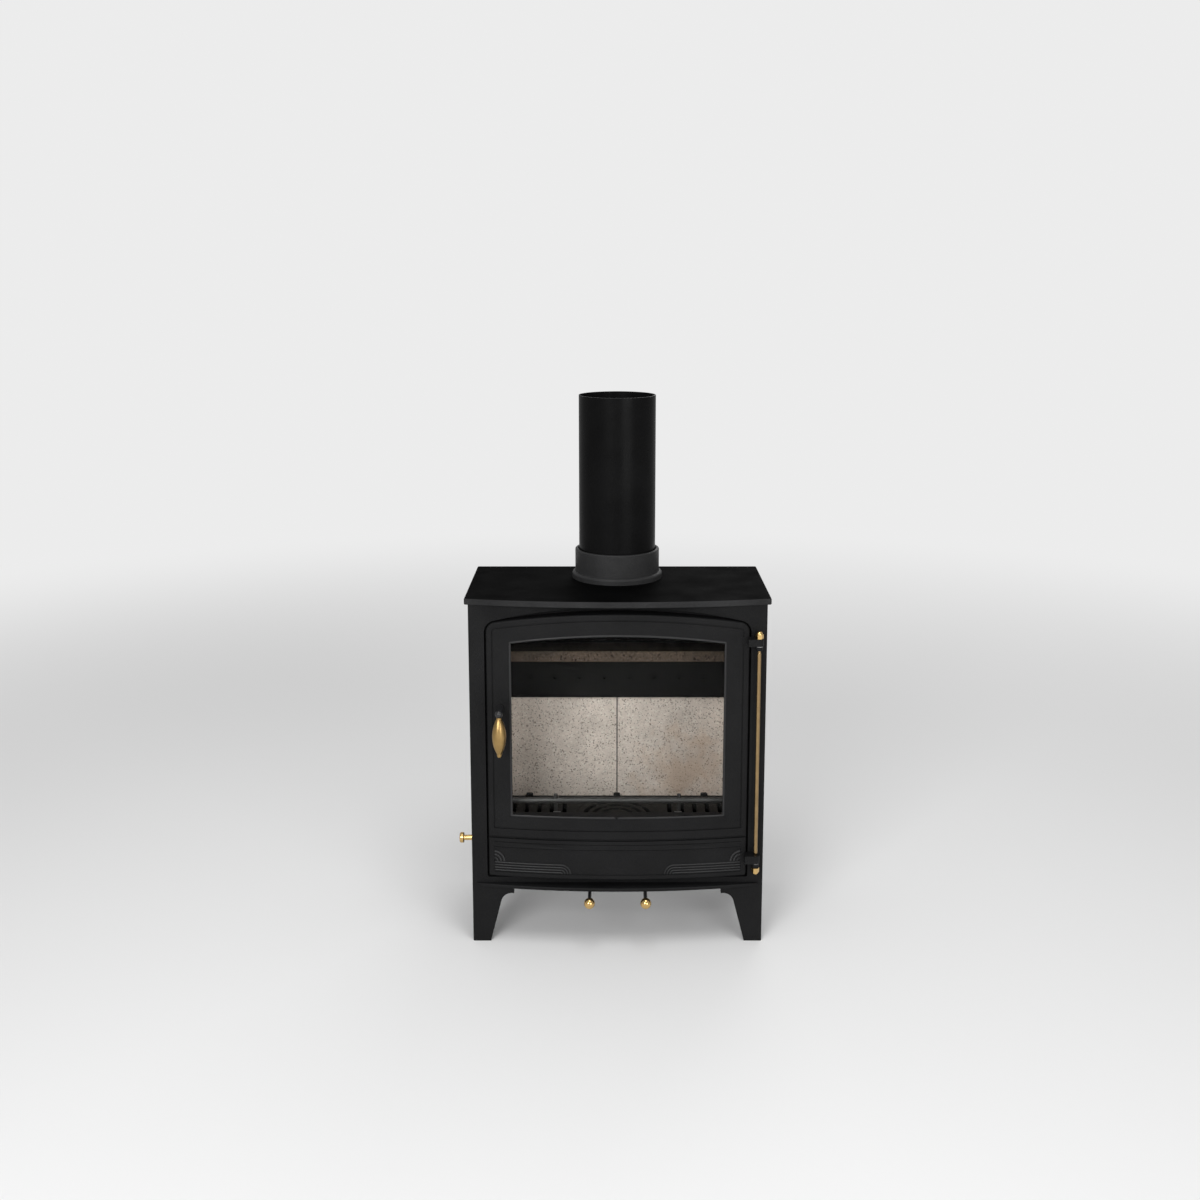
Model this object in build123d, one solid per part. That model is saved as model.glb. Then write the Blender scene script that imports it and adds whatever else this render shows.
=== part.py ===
from build123d import *
import math
import os

# Multi-fuel stove with a bow-fronted cast door, on four legs, with its flue collar and pipe.
# Millimetres. +Z is up, the door faces -Y and z = 0 is the hearth.
# The sizes count x from the casing's centre plane, and y from midway between its front and back plates.

# Casing
casing_half_w = 241.0
front_y = -121.0
rear_y = 112.0
leg_height = 98.4
base_t = 6.0
casing_top_z = 578.0
side_t = 6.0
back_t = 6.0
front_t = 18.0
corner_r = 3.0
top_t = 10.0
top_overhang = 6.0
top_rear_overhang = 10.0
top_bow_y = -145.5
lip_bow_y = -146.0
lip_half_w = casing_half_w - 8.0
bow_r = 1250.0
plate_edge_r = 1.5

# Door and the pocket that it closes into
door_bow_y = -141.0
door_back_y = -112.0
door_half_w = casing_half_w - 28.5
door_low_z = 117.0
door_crown_z = 566.7
door_arch_r = 1184.0
door_corner_r = 17.0
door_low_r = 3.5
door_edge_r = 2.6
pocket_gap = 3.0
pocket_low_gap = 3.0
pocket_depth = 12.0
pocket_crown_z = 574.0
pocket_arch_r = 900.0
rope_inset = 2.0
rope_w = 8.0
rope_groove_depth = 3.6
rope_clear = 0.2
opening_inset = 11.5

# Window
window_half_w = door_half_w - 40.0
window_low_z = 226.0
window_crown_z = 530.5
window_arch_r = 1063.0
window_corner_r = 3.0
glass_t = 4.0
glass_lap = 8.0
glass_clear = 1.0
glass_rope_t = 1.0
glass_rope_w = 6.0
glass_front_y = -117.3
clip_t = 1.5
clip_w = 12.0
clip_foot = 14.0
clip_toe = 7.0
clip_screw_in = 8.0
clip_screw_r = 2.0
clip_screw_l = 6.0
clip_head_r = 3.5
clip_head_h = 2.2
side_clip_zs = (290.0, 470.0)
low_clip_x = 100.0
high_clip_x = 60.0

# Ornament on the door's face
border_w = 9.0
border_groove_w = 2.4
border_groove_depth = 1.5
border_groove_z = 202.0
shadow_low_z = 184.0
shadow_high_z = 188.0
shadow_depth = 3.0
panel_line_w = 1.0
panel_line_depth = 0.9
panel_line_zs = (177.7, 168.6)
field_low_z = 125.0
field_high_z = 166.7
field_depth = 1.2
fan_z = 143.5
fan_radii = (18.0, 12.4, 6.8)
fan_ridge_w = 3.0
fan_cut_w = 0.9
fan_cut_step_deg = 15.0
ridge_zs = (141.5, 137.0, 132.5, 128.0)
ridge_w = 1.7
ridge_end_x = door_half_w - 119.5
ridge_turn_z = 126.0
relief_h = 1.0
panel_wall = 9.0
hollow_half_w = door_half_w - 22.5
hollow_low_z = 136.0
hollow_high_z = 190.0

# Hinge
hinge_x = casing_half_w - 14.0
hinge_y = -133.0
hinge_pin_r = 2.5
hinge_clear = 0.05
hinge_rod_r = 3.2
hinge_taper = 4.0
door_lug_r = 7.0
lug_back_gap = 1.0
lug_arm_in = 3.5
lug_root_in = 14.0
lug_root_gap = 0.5
lug_root_proud = 3.6
top_lug_low_z = 513.3
top_lug_h = 11.9
low_lug_low_z = 144.3
low_lug_h = 13.4
bracket_r = 6.0
bracket_h = 7.0
washer_t = 1.0
acorn_af = 11.6
acorn_hex_h = 7.5
acorn_dome_r = 5.2
nut_gap = 0.3

# Latch and handle
handle_x = 22.5 - door_half_w
spindle_z = 408.0
spindle_r = 5.0
spindle_clear = 0.05
handle_reach = 39.0
elbow_r = 6.5
stud_r = 2.5
grip_half_h = 30.0
grip_r = 11.4
grip_end_r = 3.6
grip_collar_h = 1.6
grip_nut_r = 3.8
grip_nut_h = 3.4
tongue_t = 5.0
tongue_w = 14.0
tongue_reach = 27.0
tongue_hub_r = 8.0
tongue_gap = 0.4
spindle_nut_af = 13.0
spindle_nut_h = 6.5
spindle_thread_r = 4.0
keeper_t = 2.0
keeper_w = 12.0
keeper_h = 24.0
keeper_in = 1.0
tongue_end_r = 4.0
grip_collar_w = 0.5
grip_edge_r = 0.7

# Flue
flue_y = 45.0
pipe_r = 65.0
pipe_wall = 2.0
pipe_low_z = 600.0
pipe_length = 300.0
collar_r = 71.7
collar_socket_r = 67.0
collar_throat_r = 61.0
collar_top_z = 638.0
collar_flange_r = 76.75
collar_flange_h = 11.0
collar_rope_h = 10.0
collar_rope_drop = 2.0
collar_bolt_circle_r = 69.0

# Brick lining, baffle and rear air box
brick_t = 25.0
brick_clear = 2.5
side_brick_inner_x = casing_half_w - 34.0
rear_brick_front_y = 77.0
rear_brick_half_w = side_brick_inner_x - brick_clear
rear_brick_top_z = 362.0
brick_joint = 0.8
brick_arris = 0.8
side_brick_front_y = -90.0
side_brick_top_z = 425.0
air_box_front_y = 62.0
air_box_low_z = 365.0
air_box_high_z = 436.0
air_box_wall = 2.5
air_jet_z = 401.6
air_jet_r = 2.3
air_jet_pitch = 43.6
air_jet_count = 8
baffle_front_y = -13.0
baffle_front_z = 452.0
baffle_rear_y = 100.0
baffle_t = 17.5
baffle_half_w = casing_half_w - 11.0
rest_w = 22.0
rest_t = 3.0
duct_wall = 2.0
duct_h = 15.6
duct_half_w = 25.0
riser_side = 25.0
riser_clear = 1.5
deflector_reach = 22.0
deflector_tip_gap = 6.0
deflector_bend_drop = 7.0
deflector_side_gap = 5.0

# Fire bed and ash pan
grate_low_z = 165.0
grate_t = 12.0
grate_half_w = casing_half_w - 9.0
grate_front_y = -88.0
disc_y = -8.0
disc_r = 72.0
disc_gap = 0.6
disc_t = 7.0
disc_drop = 0.5
disc_ledge = 6.0
disc_ring_rs = (56.0, 41.0, 26.0)
disc_slot_degs = (32.0, 44.0, 70.0)
disc_slot_counts = (8, 6, 4)
disc_boss_r = 6.0
slot_w = 8.0
slot_l = 100.0
slot_first = 20.0
slot_pitch = 22.0
slot_count = 5
stop_half_w = 6.0
stop_depth = 6.5
stop_h = 6.0
stop_gap = 0.5
stop_r = 2.5
bearer_t = 3.0
bearer_w = 28.0
bearer_drop = 26.0
bearer_front = 5.0
stop_pitch = 156.0
guard_z = 232.0
guard_y = -82.0
guard_r = 5.0
guard_half_w = casing_half_w - 43.0
guard_post_x = 103.0
guard_post_r = 3.25
guard_post_top_z = 243.0
guard_post_in = 6.0
guard_end_r = 1.5
pan_half_w = 150.0
pan_front_y = -106.0
pan_rear_y = 68.0
pan_low_z = 129.2
pan_h = 23.0
pan_wall = 1.5
pan_pull_half_w = 40.0
pan_pull_reach = 3.0
runner_x = 135.0
runner_half_w = 12.0
runner_wall = 3.0
pan_corner_r = 4.0

# Riddling gear
riddle_y = -63.0
riddle_z = 158.0
riddle_rod_r = 3.5
riddle_travel = 24.0
riddle_pin_r = 3.0
riddle_slot_clear = 0.5
eye_t = 5.0
eye_wall = 5.0
rod_screwed_in = 6.0
riddle_knob_x = -casing_half_w - 26.0
riddle_knob_r = 8.8
riddle_knob_t = 7.4
riddle_stem_r = 4.55
riddle_face_r = 2.6
riddle_back_r = 1.4
rod_hole_clear = 1.0

# Air controls under the base
knob_x = 46.0
knob_z = 87.0
knob_y = -163.0
knob_r = 9.0
knob_rod_r = 3.0
slide_travel = 20.0
slide_half_w = 32.0
slide_front_y = -104.0
slide_rear_y = -14.0
slide_t = 3.0
slide_clear = 0.2
port_half_w = 22.0
port_d = 9.0
port_first_y = -47.0
guide_wall = 3.0
guide_lip = 6.0
slide_lug_half_w = 7.0
slide_lug_t = 5.0
slide_lug_drop = 6.0
rod_end = 8.0
neck_extra_r = 1.2
neck_l = 3.0
neck_edge_r = 0.8
rod_in_knob = 2.5

# Legs
leg_foot_w = 29.5
leg_neck_w = 48.0
leg_neck_z = 72.0
leg_head_w = 69.0
leg_head_h = 13.9
leg_web = 9.0
leg_flange_t = 8.0
leg_flange_w = 58.0
leg_bolt_r = 4.0
leg_bolt_in = 30.0
bolt_head_af = 13.0
bolt_head_h = 5.5
tab_side = 26.0
tab_t = 6.0
small_bolt_r = 3.0
small_bolt_af = 10.0
small_bolt_h = 4.0

# Rear outlet and its cover
outlet_z = 508.0
outlet_r = 50.0
cover_r = 66.0
cover_t = 6.0
cover_bolt_circle_r = 57.0
cover_bolt_count = 3

# Heights and planes that follow from the sizes above
base_top_z = leg_height + base_t
inner_half_w = casing_half_w - side_t
side_front_y = front_y + front_t
back_inner_y = rear_y - back_t
pocket_floor_y = front_y + pocket_depth
glass_back_y = glass_front_y + glass_t
grate_top_z = grate_low_z + grate_t
window_rope_y = glass_front_y - glass_rope_t
opening_half_w = door_half_w - opening_inset
spindle_front_y = front_y - handle_reach
fit_gap = 0.1
through = 60.0


def block(x0, x1, y0, y1, z0, z1):
    """A box between three pairs of coordinates."""
    size = Box(abs(x1 - x0), abs(y1 - y0), abs(z1 - z0))
    return Pos((x0 + x1) / 2, (y0 + y1) / 2, (z0 + z1) / 2) * size


def rod_z(x, y, r, z0, z1):
    return Pos(x, y, (z0 + z1) / 2) * Cylinder(r, abs(z1 - z0))


def rod_y(x, z, r, y0, y1):
    return Pos(x, (y0 + y1) / 2, z) * Rot(90, 0, 0) * Cylinder(r, abs(y1 - y0))


def rod_x(y, z, r, x0, x1):
    return Pos((x0 + x1) / 2, y, z) * Rot(0, 90, 0) * Cylinder(r, abs(x1 - x0))


def prism_y(face, y0, y1):
    """A face drawn in x and z, carried from y0 to y1."""
    return extrude(Plane.XZ.offset(-y1) * face, y1 - y0)


def prism_x(face, x0, x1):
    """A face drawn in y and z, carried from x0 to x1."""
    return extrude(Plane.YZ.offset(x0) * face, x1 - x0)


def outline(points):
    return make_face(Polyline(*points, close=True))


def hex_prism(across_flats, height):
    return extrude(RegularPolygon(across_flats / math.sqrt(3), 6), height)


def hex_bolt(shank_r, shank_l, head_af, head_h):
    """A hex bolt that points up: its head hangs below z = 0 and its shank stands above."""
    head = Pos(0, 0, -head_h) * hex_prism(head_af, head_h)
    head = chamfer(head.faces().sort_by(Axis.Z)[0].edges(), head_h * 0.12)
    return head + rod_z(0, 0, shank_r, 0, shank_l)


def bow_drum(bow_front_y, z0, z1, inset=0.0):
    """The round drum whose front is the bow of a plate or door, less an inset."""
    return rod_z(0, bow_front_y + bow_r, bow_r - inset, z0, z1)


def arched_face(half_w, z_low, z_crown, arch_r, top_r, low_r=0.0):
    """A doorway shape: square below, with a shallow arch above that meets the sides in round corners."""
    z_side = z_crown - arch_r + math.sqrt(arch_r**2 - half_w**2)
    sides = Polyline((-half_w, z_side), (-half_w, z_low), (half_w, z_low), (half_w, z_side))
    arch = ThreePointArc((half_w, z_side), (0, z_crown), (-half_w, z_side))
    face = make_face(sides + arch)
    if top_r > 0:
        face = fillet(face.vertices().group_by(Axis.Y)[-1], top_r)
    if low_r > 0:
        face = fillet(face.vertices().group_by(Axis.Y)[0], low_r)
    return face


def door_face(inset):
    """The door's outline, drawn in by an inset all round."""
    return arched_face(
        door_half_w - inset,
        door_low_z + inset,
        door_crown_z - inset,
        door_arch_r - inset,
        max(door_corner_r - inset, 1.0),
        max(door_low_r - inset, 1.0),
    )


def window_face(lap):
    """The window's outline, let out by a lap all round."""
    return arched_face(
        window_half_w + lap,
        window_low_z - lap,
        window_crown_z + lap,
        window_arch_r + lap,
        window_corner_r,
        window_corner_r,
    )


def bowed_plate(half_w, y_rear, bow_y, z0, z1, plan_r):
    """A flat plate with a straight rear edge and a bowed front edge."""
    y_corner = bow_y + bow_r - math.sqrt(bow_r**2 - half_w**2)
    back = Polyline((half_w, y_corner), (half_w, y_rear), (-half_w, y_rear), (-half_w, y_corner))
    bow = ThreePointArc((-half_w, y_corner), (0, bow_y), (half_w, y_corner))
    face = make_face(back + bow)
    face = fillet(face.vertices(), plan_r)
    return Pos(0, 0, z0) * extrude(face, z1 - z0)


def top_plate():
    half_w = casing_half_w + top_overhang
    rear = rear_y + top_rear_overhang
    plate = bowed_plate(half_w, rear, top_bow_y, casing_top_z, casing_top_z + top_t, 2 * plate_edge_r)
    plate = fillet(plate.faces().sort_by(Axis.Z)[-1].edges(), plate_edge_r)
    plate = fillet(plate.faces().sort_by(Axis.Z)[0].edges(), plate_edge_r)
    plate -= rod_z(0, flue_y, collar_throat_r, casing_top_z, casing_top_z + top_t)
    for x, y in collar_bolt_places():
        plate -= rod_z(x, y, small_bolt_r + fit_gap, casing_top_z, casing_top_z + top_t)
    for x, y in tab_places():
        plate -= rod_z(x, y, leg_bolt_r + fit_gap, casing_top_z, casing_top_z + top_t * 0.8)
    return plate


def collar_bolt_places():
    turns = [math.radians(45 + 90 * n) for n in range(4)]
    return [
        (collar_bolt_circle_r * math.cos(t), flue_y + collar_bolt_circle_r * math.sin(t))
        for t in turns
    ]


def tab_places():
    x = inner_half_w - tab_side / 2
    return [(s * x, y) for s in (-1, 1) for y in (side_front_y + tab_side, back_inner_y - tab_side)]


def base_plate():
    lip = bowed_plate(lip_half_w, 0, lip_bow_y, leg_height, base_top_z, corner_r)
    lip = fillet(lip.edges().filter_by_position(Axis.Y, -200, front_y - 1), base_t * 0.3)
    plate = block(-casing_half_w, casing_half_w, front_y, rear_y, leg_height, base_top_z)
    plate = fillet(plate.edges().filter_by(Axis.Z).group_by(Axis.Y)[0], corner_r)
    plate += lip
    for side in (-1, 1):
        for y in port_places():
            plate -= port(side * knob_x, y, leg_height, base_top_z)
    for x, y in leg_bolt_places():
        plate -= rod_z(x, y, leg_bolt_r + fit_gap, leg_height, base_top_z)
    return plate


def port(x, y, z0, z1):
    return block(x - port_half_w, x + port_half_w, y - port_d / 2, y + port_d / 2, z0, z1)


def port_places(shift=0.0):
    return [port_first_y - 2 * slide_travel * n + shift for n in range(2)]


def leg_bolt_places():
    x = casing_half_w - leg_bolt_in
    return [(s * x, y) for s in (-1, 1) for y in (front_y + leg_bolt_in, rear_y - leg_bolt_in)]


def front_plate():
    plate = block(-casing_half_w, casing_half_w, front_y, side_front_y, base_top_z, casing_top_z)
    plate = fillet(plate.edges().filter_by(Axis.Z).group_by(Axis.Y)[0], corner_r)
    pocket = arched_face(
        door_half_w + pocket_gap,
        door_low_z - pocket_low_gap,
        pocket_crown_z,
        pocket_arch_r,
        door_corner_r + pocket_gap,
        pocket_gap,
    )
    plate -= prism_y(pocket, front_y - 1, pocket_floor_y)
    plate -= prism_y(door_face(opening_inset), pocket_floor_y - 1, side_front_y + 1)
    return plate


def side_plate(side):
    inner, outer = sorted((side * inner_half_w, side * casing_half_w))
    plate = block(inner, outer, side_front_y, rear_y, base_top_z, casing_top_z)
    for x, y in tab_places():
        if x * side > 0:
            tab = block(side * inner_half_w, side * (inner_half_w - tab_side), y - tab_side / 2,
                        y + tab_side / 2, casing_top_z - tab_t, casing_top_z)
            plate += tab - rod_z(x, y, leg_bolt_r + fit_gap, casing_top_z - tab_t, casing_top_z)
    if side < 0:
        plate -= rod_x(riddle_y, riddle_z, riddle_rod_r + rod_hole_clear, -casing_half_w - 1,
                       -inner_half_w + 1)
    return plate


def back_plate():
    plate = block(-inner_half_w, inner_half_w, back_inner_y, rear_y, base_top_z, casing_top_z)
    plate -= rod_y(0, outlet_z, outlet_r, back_inner_y - 1, rear_y + 1)
    for x, z in cover_bolt_places():
        plate -= rod_y(x, z, small_bolt_r + fit_gap, back_inner_y - 1, rear_y + 1)
    return plate


def cover_bolt_places():
    turns = [math.radians(90 + 360 * n / cover_bolt_count) for n in range(cover_bolt_count)]
    return [(cover_bolt_circle_r * math.cos(t), outlet_z + cover_bolt_circle_r * math.sin(t)) for t in turns]


def rear_blanking_plate():
    cover = rod_y(0, outlet_z, cover_r, rear_y, rear_y + cover_t)
    cover = fillet(cover.faces().sort_by(Axis.Y)[-1].edges(), cover_t * 0.3)
    cover -= rod_y(0, outlet_z, outlet_r * 0.72, rear_y + cover_t * 0.6, rear_y + cover_t)
    for x, z in cover_bolt_places():
        cover -= rod_y(x, z, small_bolt_r + fit_gap, rear_y - 1, rear_y + cover_t + 1)
    return cover


def blanking_plate_bolts():
    bolt = Rot(90, 0, 0) * hex_bolt(small_bolt_r, cover_t + back_t, small_bolt_af, small_bolt_h)
    return [Pos(x, rear_y + cover_t, z) * bolt for x, z in cover_bolt_places()]


def leg(side, end):
    """An angle-shaped leg: two webs at right angles that flare into a bracket, and a bolting flange."""
    head_z = leg_height - leg_head_h

    def web_face():
        foot = Polyline((0, leg_height), (0, 0), (leg_foot_w, 0), (leg_neck_w, leg_neck_z))
        flare = TangentArc(
            (leg_neck_w, leg_neck_z),
            (leg_head_w, head_z),
            tangent=(leg_neck_w - leg_foot_w, leg_neck_z),
        )
        head = Polyline((leg_head_w, head_z), (leg_head_w, leg_height), (0, leg_height))
        return make_face(foot + flare + head)

    along_x = extrude(Plane.XZ * web_face(), -leg_web)
    along_y = extrude(Plane.YZ * web_face(), leg_web)
    flange = block(0, leg_flange_w, 0, leg_flange_w, leg_height - leg_flange_t, leg_height)
    shape = along_x + along_y + flange
    corner = shape.edges().filter_by(Axis.Z).sort_by(lambda e: e.center().X + e.center().Y)[0]
    shape = fillet(corner, corner_r)
    shape -= rod_z(leg_bolt_in, leg_bolt_in, leg_bolt_r + fit_gap, 0, leg_height)
    if side > 0:
        shape = mirror(shape, about=Plane.YZ)
    if end > 0:
        shape = mirror(shape, about=Plane.XZ)
    return Pos(side * casing_half_w, rear_y if end > 0 else front_y, 0) * shape


def leg_bolts():
    bolt = hex_bolt(leg_bolt_r, leg_flange_t + base_t, bolt_head_af, bolt_head_h)
    return [Pos(x, y, leg_height - leg_flange_t) * bolt for x, y in leg_bolt_places()]


def top_plate_bolts():
    bolt = hex_bolt(leg_bolt_r, tab_t + top_t * 0.7, bolt_head_af, bolt_head_h)
    return [Pos(x, y, casing_top_z - tab_t) * bolt for x, y in tab_places()]


def flue_collar():
    low = casing_top_z + top_t
    flange = rod_z(0, flue_y, collar_flange_r, low, low + collar_flange_h)
    flange = fillet(flange.faces().sort_by(Axis.Z)[-1].edges(), collar_flange_h * 0.42)
    body = rod_z(0, flue_y, collar_r, low, collar_top_z)
    body = fillet(body.faces().sort_by(Axis.Z)[-1].edges(), 2.0)
    collar = flange + body
    collar -= rod_z(0, flue_y, collar_socket_r, pipe_low_z, collar_top_z + 1)
    collar -= rod_z(0, flue_y, collar_throat_r, low - 1, collar_top_z)
    for x, y in collar_bolt_places():
        collar -= rod_z(x, y, small_bolt_r + fit_gap, low - 1, low + collar_flange_h * 0.8)
    return collar


def collar_bolts():
    bolt = hex_bolt(small_bolt_r, top_t + collar_flange_h * 0.7, small_bolt_af, small_bolt_h)
    return [Pos(x, y, casing_top_z) * bolt for x, y in collar_bolt_places()]


def collar_rope():
    high = collar_top_z - collar_rope_drop
    ring = rod_z(0, flue_y, collar_socket_r - fit_gap, high - collar_rope_h, high)
    return ring - rod_z(0, flue_y, pipe_r + fit_gap, high - collar_rope_h, high)


def flue_pipe():
    high = pipe_low_z + pipe_length
    pipe = rod_z(0, flue_y, pipe_r, pipe_low_z, high)
    return pipe - rod_z(0, flue_y, pipe_r - pipe_wall, pipe_low_z - 1, high + 1)


def rear_brick(side):
    inner, outer = sorted((side * brick_joint / 2, side * rear_brick_half_w))
    brick = block(inner, outer, rear_brick_front_y, rear_brick_front_y + brick_t, grate_top_z,
                  rear_brick_top_z)
    return chamfer(brick.edges().filter_by(Axis.Y), brick_arris)


def side_brick(side):
    inner, outer = sorted((side * side_brick_inner_x, side * (side_brick_inner_x + brick_t)))
    brick = block(inner, outer, side_brick_front_y, rear_brick_front_y, grate_top_z, side_brick_top_z)
    return chamfer(brick.edges().filter_by(Axis.X), brick_arris)


def baffle_slope():
    return math.atan2(baffle_front_z - air_box_high_z, baffle_rear_y - baffle_front_y)


def baffle_line(y, drop=0.0):
    """Height of the baffle's underside at y, less a drop measured square to it."""
    slope = baffle_slope()
    return air_box_high_z + (baffle_rear_y - y) * math.tan(slope) - drop / math.cos(slope)


def baffle_plate():
    rise = baffle_t * math.cos(baffle_slope())
    shift = baffle_t * math.sin(baffle_slope())
    rear = (baffle_rear_y, air_box_high_z)
    front = (baffle_front_y, baffle_front_z)
    front_top = (baffle_front_y + shift, baffle_front_z + rise)
    rear_top = (baffle_rear_y + shift, air_box_high_z + rise)
    return prism_x(outline([rear, front, front_top, rear_top]), -baffle_half_w, baffle_half_w)


def baffle_rests():
    y0 = baffle_front_y + rest_t
    y1 = air_box_front_y - rest_t
    strip = outline(
        [
            (y0, baffle_line(y0)),
            (y1, baffle_line(y1)),
            (y1, baffle_line(y1, rest_t)),
            (y0, baffle_line(y0, rest_t)),
        ]
    )
    right = prism_x(strip, inner_half_w - rest_w, inner_half_w)
    return [mirror(right, about=Plane.YZ), right]


def air_box_form(inset, y_front):
    """The box is as wide as the firebox in front, and as wide as the casing behind the side bricks."""
    low, high = air_box_low_z + inset, air_box_high_z - inset
    narrow = side_brick_inner_x - brick_clear - inset
    wide = inner_half_w - brick_clear - inset
    form = block(-narrow, narrow, y_front, back_inner_y, low, high)
    return form + block(-wide, wide, rear_brick_front_y + brick_clear + inset, back_inner_y, low, high)


def air_box():
    box = air_box_form(0, air_box_front_y) - air_box_form(air_box_wall, air_box_front_y + air_box_wall)
    for n in range(air_jet_count):
        x = (n - (air_jet_count - 1) / 2) * air_jet_pitch
        box -= rod_y(x, air_jet_z, air_jet_r, air_box_front_y - 1, air_box_front_y + air_box_wall + 1)
    for x in riser_places():
        box -= riser_bore(x, air_box_low_z - 1, air_box_low_z + air_box_wall + 1)
    return box


def riser_places():
    x = inner_half_w - riser_clear - riser_side / 2
    return (-x, x)


def riser_bore(x, z0, z1):
    half = riser_side / 2 - duct_wall
    y = back_inner_y - riser_clear - riser_side / 2
    return block(x - half, x + half, y - half, y + half, z0, z1)


def air_risers():
    half = riser_side / 2
    y = back_inner_y - riser_clear - half
    low, high = base_top_z + duct_h, air_box_low_z
    return [
        block(x - half, x + half, y - half, y + half, low, high) - riser_bore(x, low, high)
        for x in riser_places()
    ]


def secondary_air_duct():
    """A sheet cover on the base: a channel from the right-hand ports to the rear, and one across the rear."""
    low, high = base_top_z, base_top_z + duct_h
    half_w = inner_half_w - riser_clear
    y_rear = back_inner_y - riser_clear
    y_cross = y_rear - riser_side
    y_front = port_places()[-1] - port_d
    outer = block(-half_w, half_w, y_cross, y_rear, low, high)
    outer += block(knob_x - duct_half_w, knob_x + duct_half_w, y_front, y_cross + 1, low, high)
    w = duct_wall
    inner = block(-half_w + w, half_w - w, y_cross + w, y_rear - w, low, high - w)
    inner += block(knob_x - duct_half_w + w, knob_x + duct_half_w - w, y_front + w,
                   y_cross + 2 * w, low, high - w)
    cover = outer - inner
    for x in riser_places():
        cover -= riser_bore(x, high - w - 1, high + 1)
    return cover


def airwash_deflector():
    """A folded sheet behind the door's head that turns the wash air down the glass."""
    t = duct_wall
    y_wall = side_front_y
    y_back = y_wall + deflector_reach
    z_top = casing_top_z - tab_t
    z_bend = door_crown_z - opening_inset - deflector_bend_drop
    tip_y = y_wall + deflector_tip_gap
    tip_z = window_crown_z - t
    sheet = outline(
        [
            (y_wall, z_top),
            (y_back, z_top),
            (y_back, z_bend),
            (tip_y, tip_z),
            (tip_y - t, tip_z + t),
            (y_back - t, z_bend + t),
            (y_back - t, z_top - t),
            (y_wall, z_top - t),
        ]
    )
    half_w = opening_half_w - deflector_side_gap
    return prism_x(sheet, -half_w, half_w)


def grate_bearers():
    y0, y1 = grate_front_y - bearer_front, rear_brick_front_y
    top = block(inner_half_w - bearer_w, inner_half_w, y0, y1, grate_low_z - bearer_t, grate_low_z)
    web = block(inner_half_w - bearer_t, inner_half_w, y0, y1, grate_low_z - bearer_drop,
                grate_low_z - bearer_t)
    right = top + web
    left = mirror(right, about=Plane.YZ)
    hole_r = riddle_rod_r + rod_hole_clear
    left -= rod_x(riddle_y, riddle_z, hole_r, -inner_half_w - 1, -inner_half_w + bearer_w + 1)
    left -= block(-inner_half_w, -inner_half_w + bearer_w, riddle_y - hole_r, riddle_y + hole_r,
                  riddle_z, riddle_z + hole_r)
    return [left, right]


def grate_frame():
    """The cast fire bed: a slotted plate with a stepped round hole for the riddling disc."""
    rear = rear_brick_front_y + brick_t
    frame = block(-grate_half_w, grate_half_w, grate_front_y, rear_brick_front_y, grate_low_z, grate_top_z)
    frame += block(-rear_brick_half_w, rear_brick_half_w, rear_brick_front_y - 1, rear,
                   grate_low_z, grate_top_z)
    frame -= rod_z(0, disc_y, disc_r + disc_gap, grate_top_z - disc_t, grate_top_z + 1)
    frame -= rod_z(0, disc_y, disc_r - disc_ledge, grate_low_z - 1, grate_top_z)
    slot = Pos(0, disc_y, 0) * extrude(SlotOverall(slot_l, slot_w, rotation=90), through)
    for side in (-1, 1):
        for n in range(slot_count):
            x = side * (disc_r + slot_first + slot_pitch * n)
            frame -= Pos(x, 0, grate_low_z - through / 2) * slot
    stop_y = rear_brick_front_y - stop_gap
    for n in (-1, 0, 1):
        x = n * stop_pitch
        stop = block(x - stop_half_w, x + stop_half_w, stop_y - stop_depth, stop_y,
                     grate_top_z - 1, grate_top_z + stop_h)
        frame += fillet(stop.edges().filter_by(Axis.Y).group_by(Axis.Z)[-1], stop_r)
    for side in (-1, 1):
        frame -= rod_z(side * guard_post_x, guard_y, guard_post_r, grate_top_z - guard_post_in,
                       grate_top_z + 1)
    return frame


def riddling_disc():
    """The round grate plate, with rings of curved slots and the pin that its rod pulls."""
    high = grate_top_z - disc_drop
    low = grate_top_z - disc_t
    disc = rod_z(0, disc_y, disc_r, low, high)
    for ring_r, slot_deg, count in zip(disc_ring_rs, disc_slot_degs, disc_slot_counts):
        for n in range(count):
            arc = CenterArc((0, 0), ring_r, 360 / count * n, slot_deg)
            disc -= Pos(0, disc_y, low - 1) * extrude(SlotArc(arc, slot_w), disc_t + 2)
    boss = rod_z(0, riddle_y, disc_boss_r, low, high)
    pin = rod_z(0, riddle_y, riddle_pin_r, riddle_z - eye_t, low)
    return disc + boss + pin


def riddle_rod():
    """The pull rod under the grate: its flat eye is slotted, so that the disc's pin can swing in it."""
    swing = riddle_y - disc_y
    sweep = abs(swing) * (1 - math.cos(riddle_travel / abs(swing)))
    slot_half = riddle_pin_r + riddle_slot_clear
    y0, y1 = riddle_y - slot_half - 1, riddle_y + sweep + slot_half + 1
    half_w = slot_half + eye_wall
    eye = block(-half_w, half_w, y0 - eye_wall, y1 + eye_wall, riddle_z - eye_t / 2, riddle_z + eye_t / 2)
    rod = rod_x(riddle_y, riddle_z, riddle_rod_r, -casing_half_w - rod_screwed_in, -slot_half - 2)
    rod += eye
    rod -= block(-slot_half, slot_half, y0, y1, riddle_z - through, riddle_z + through)
    return rod


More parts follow.
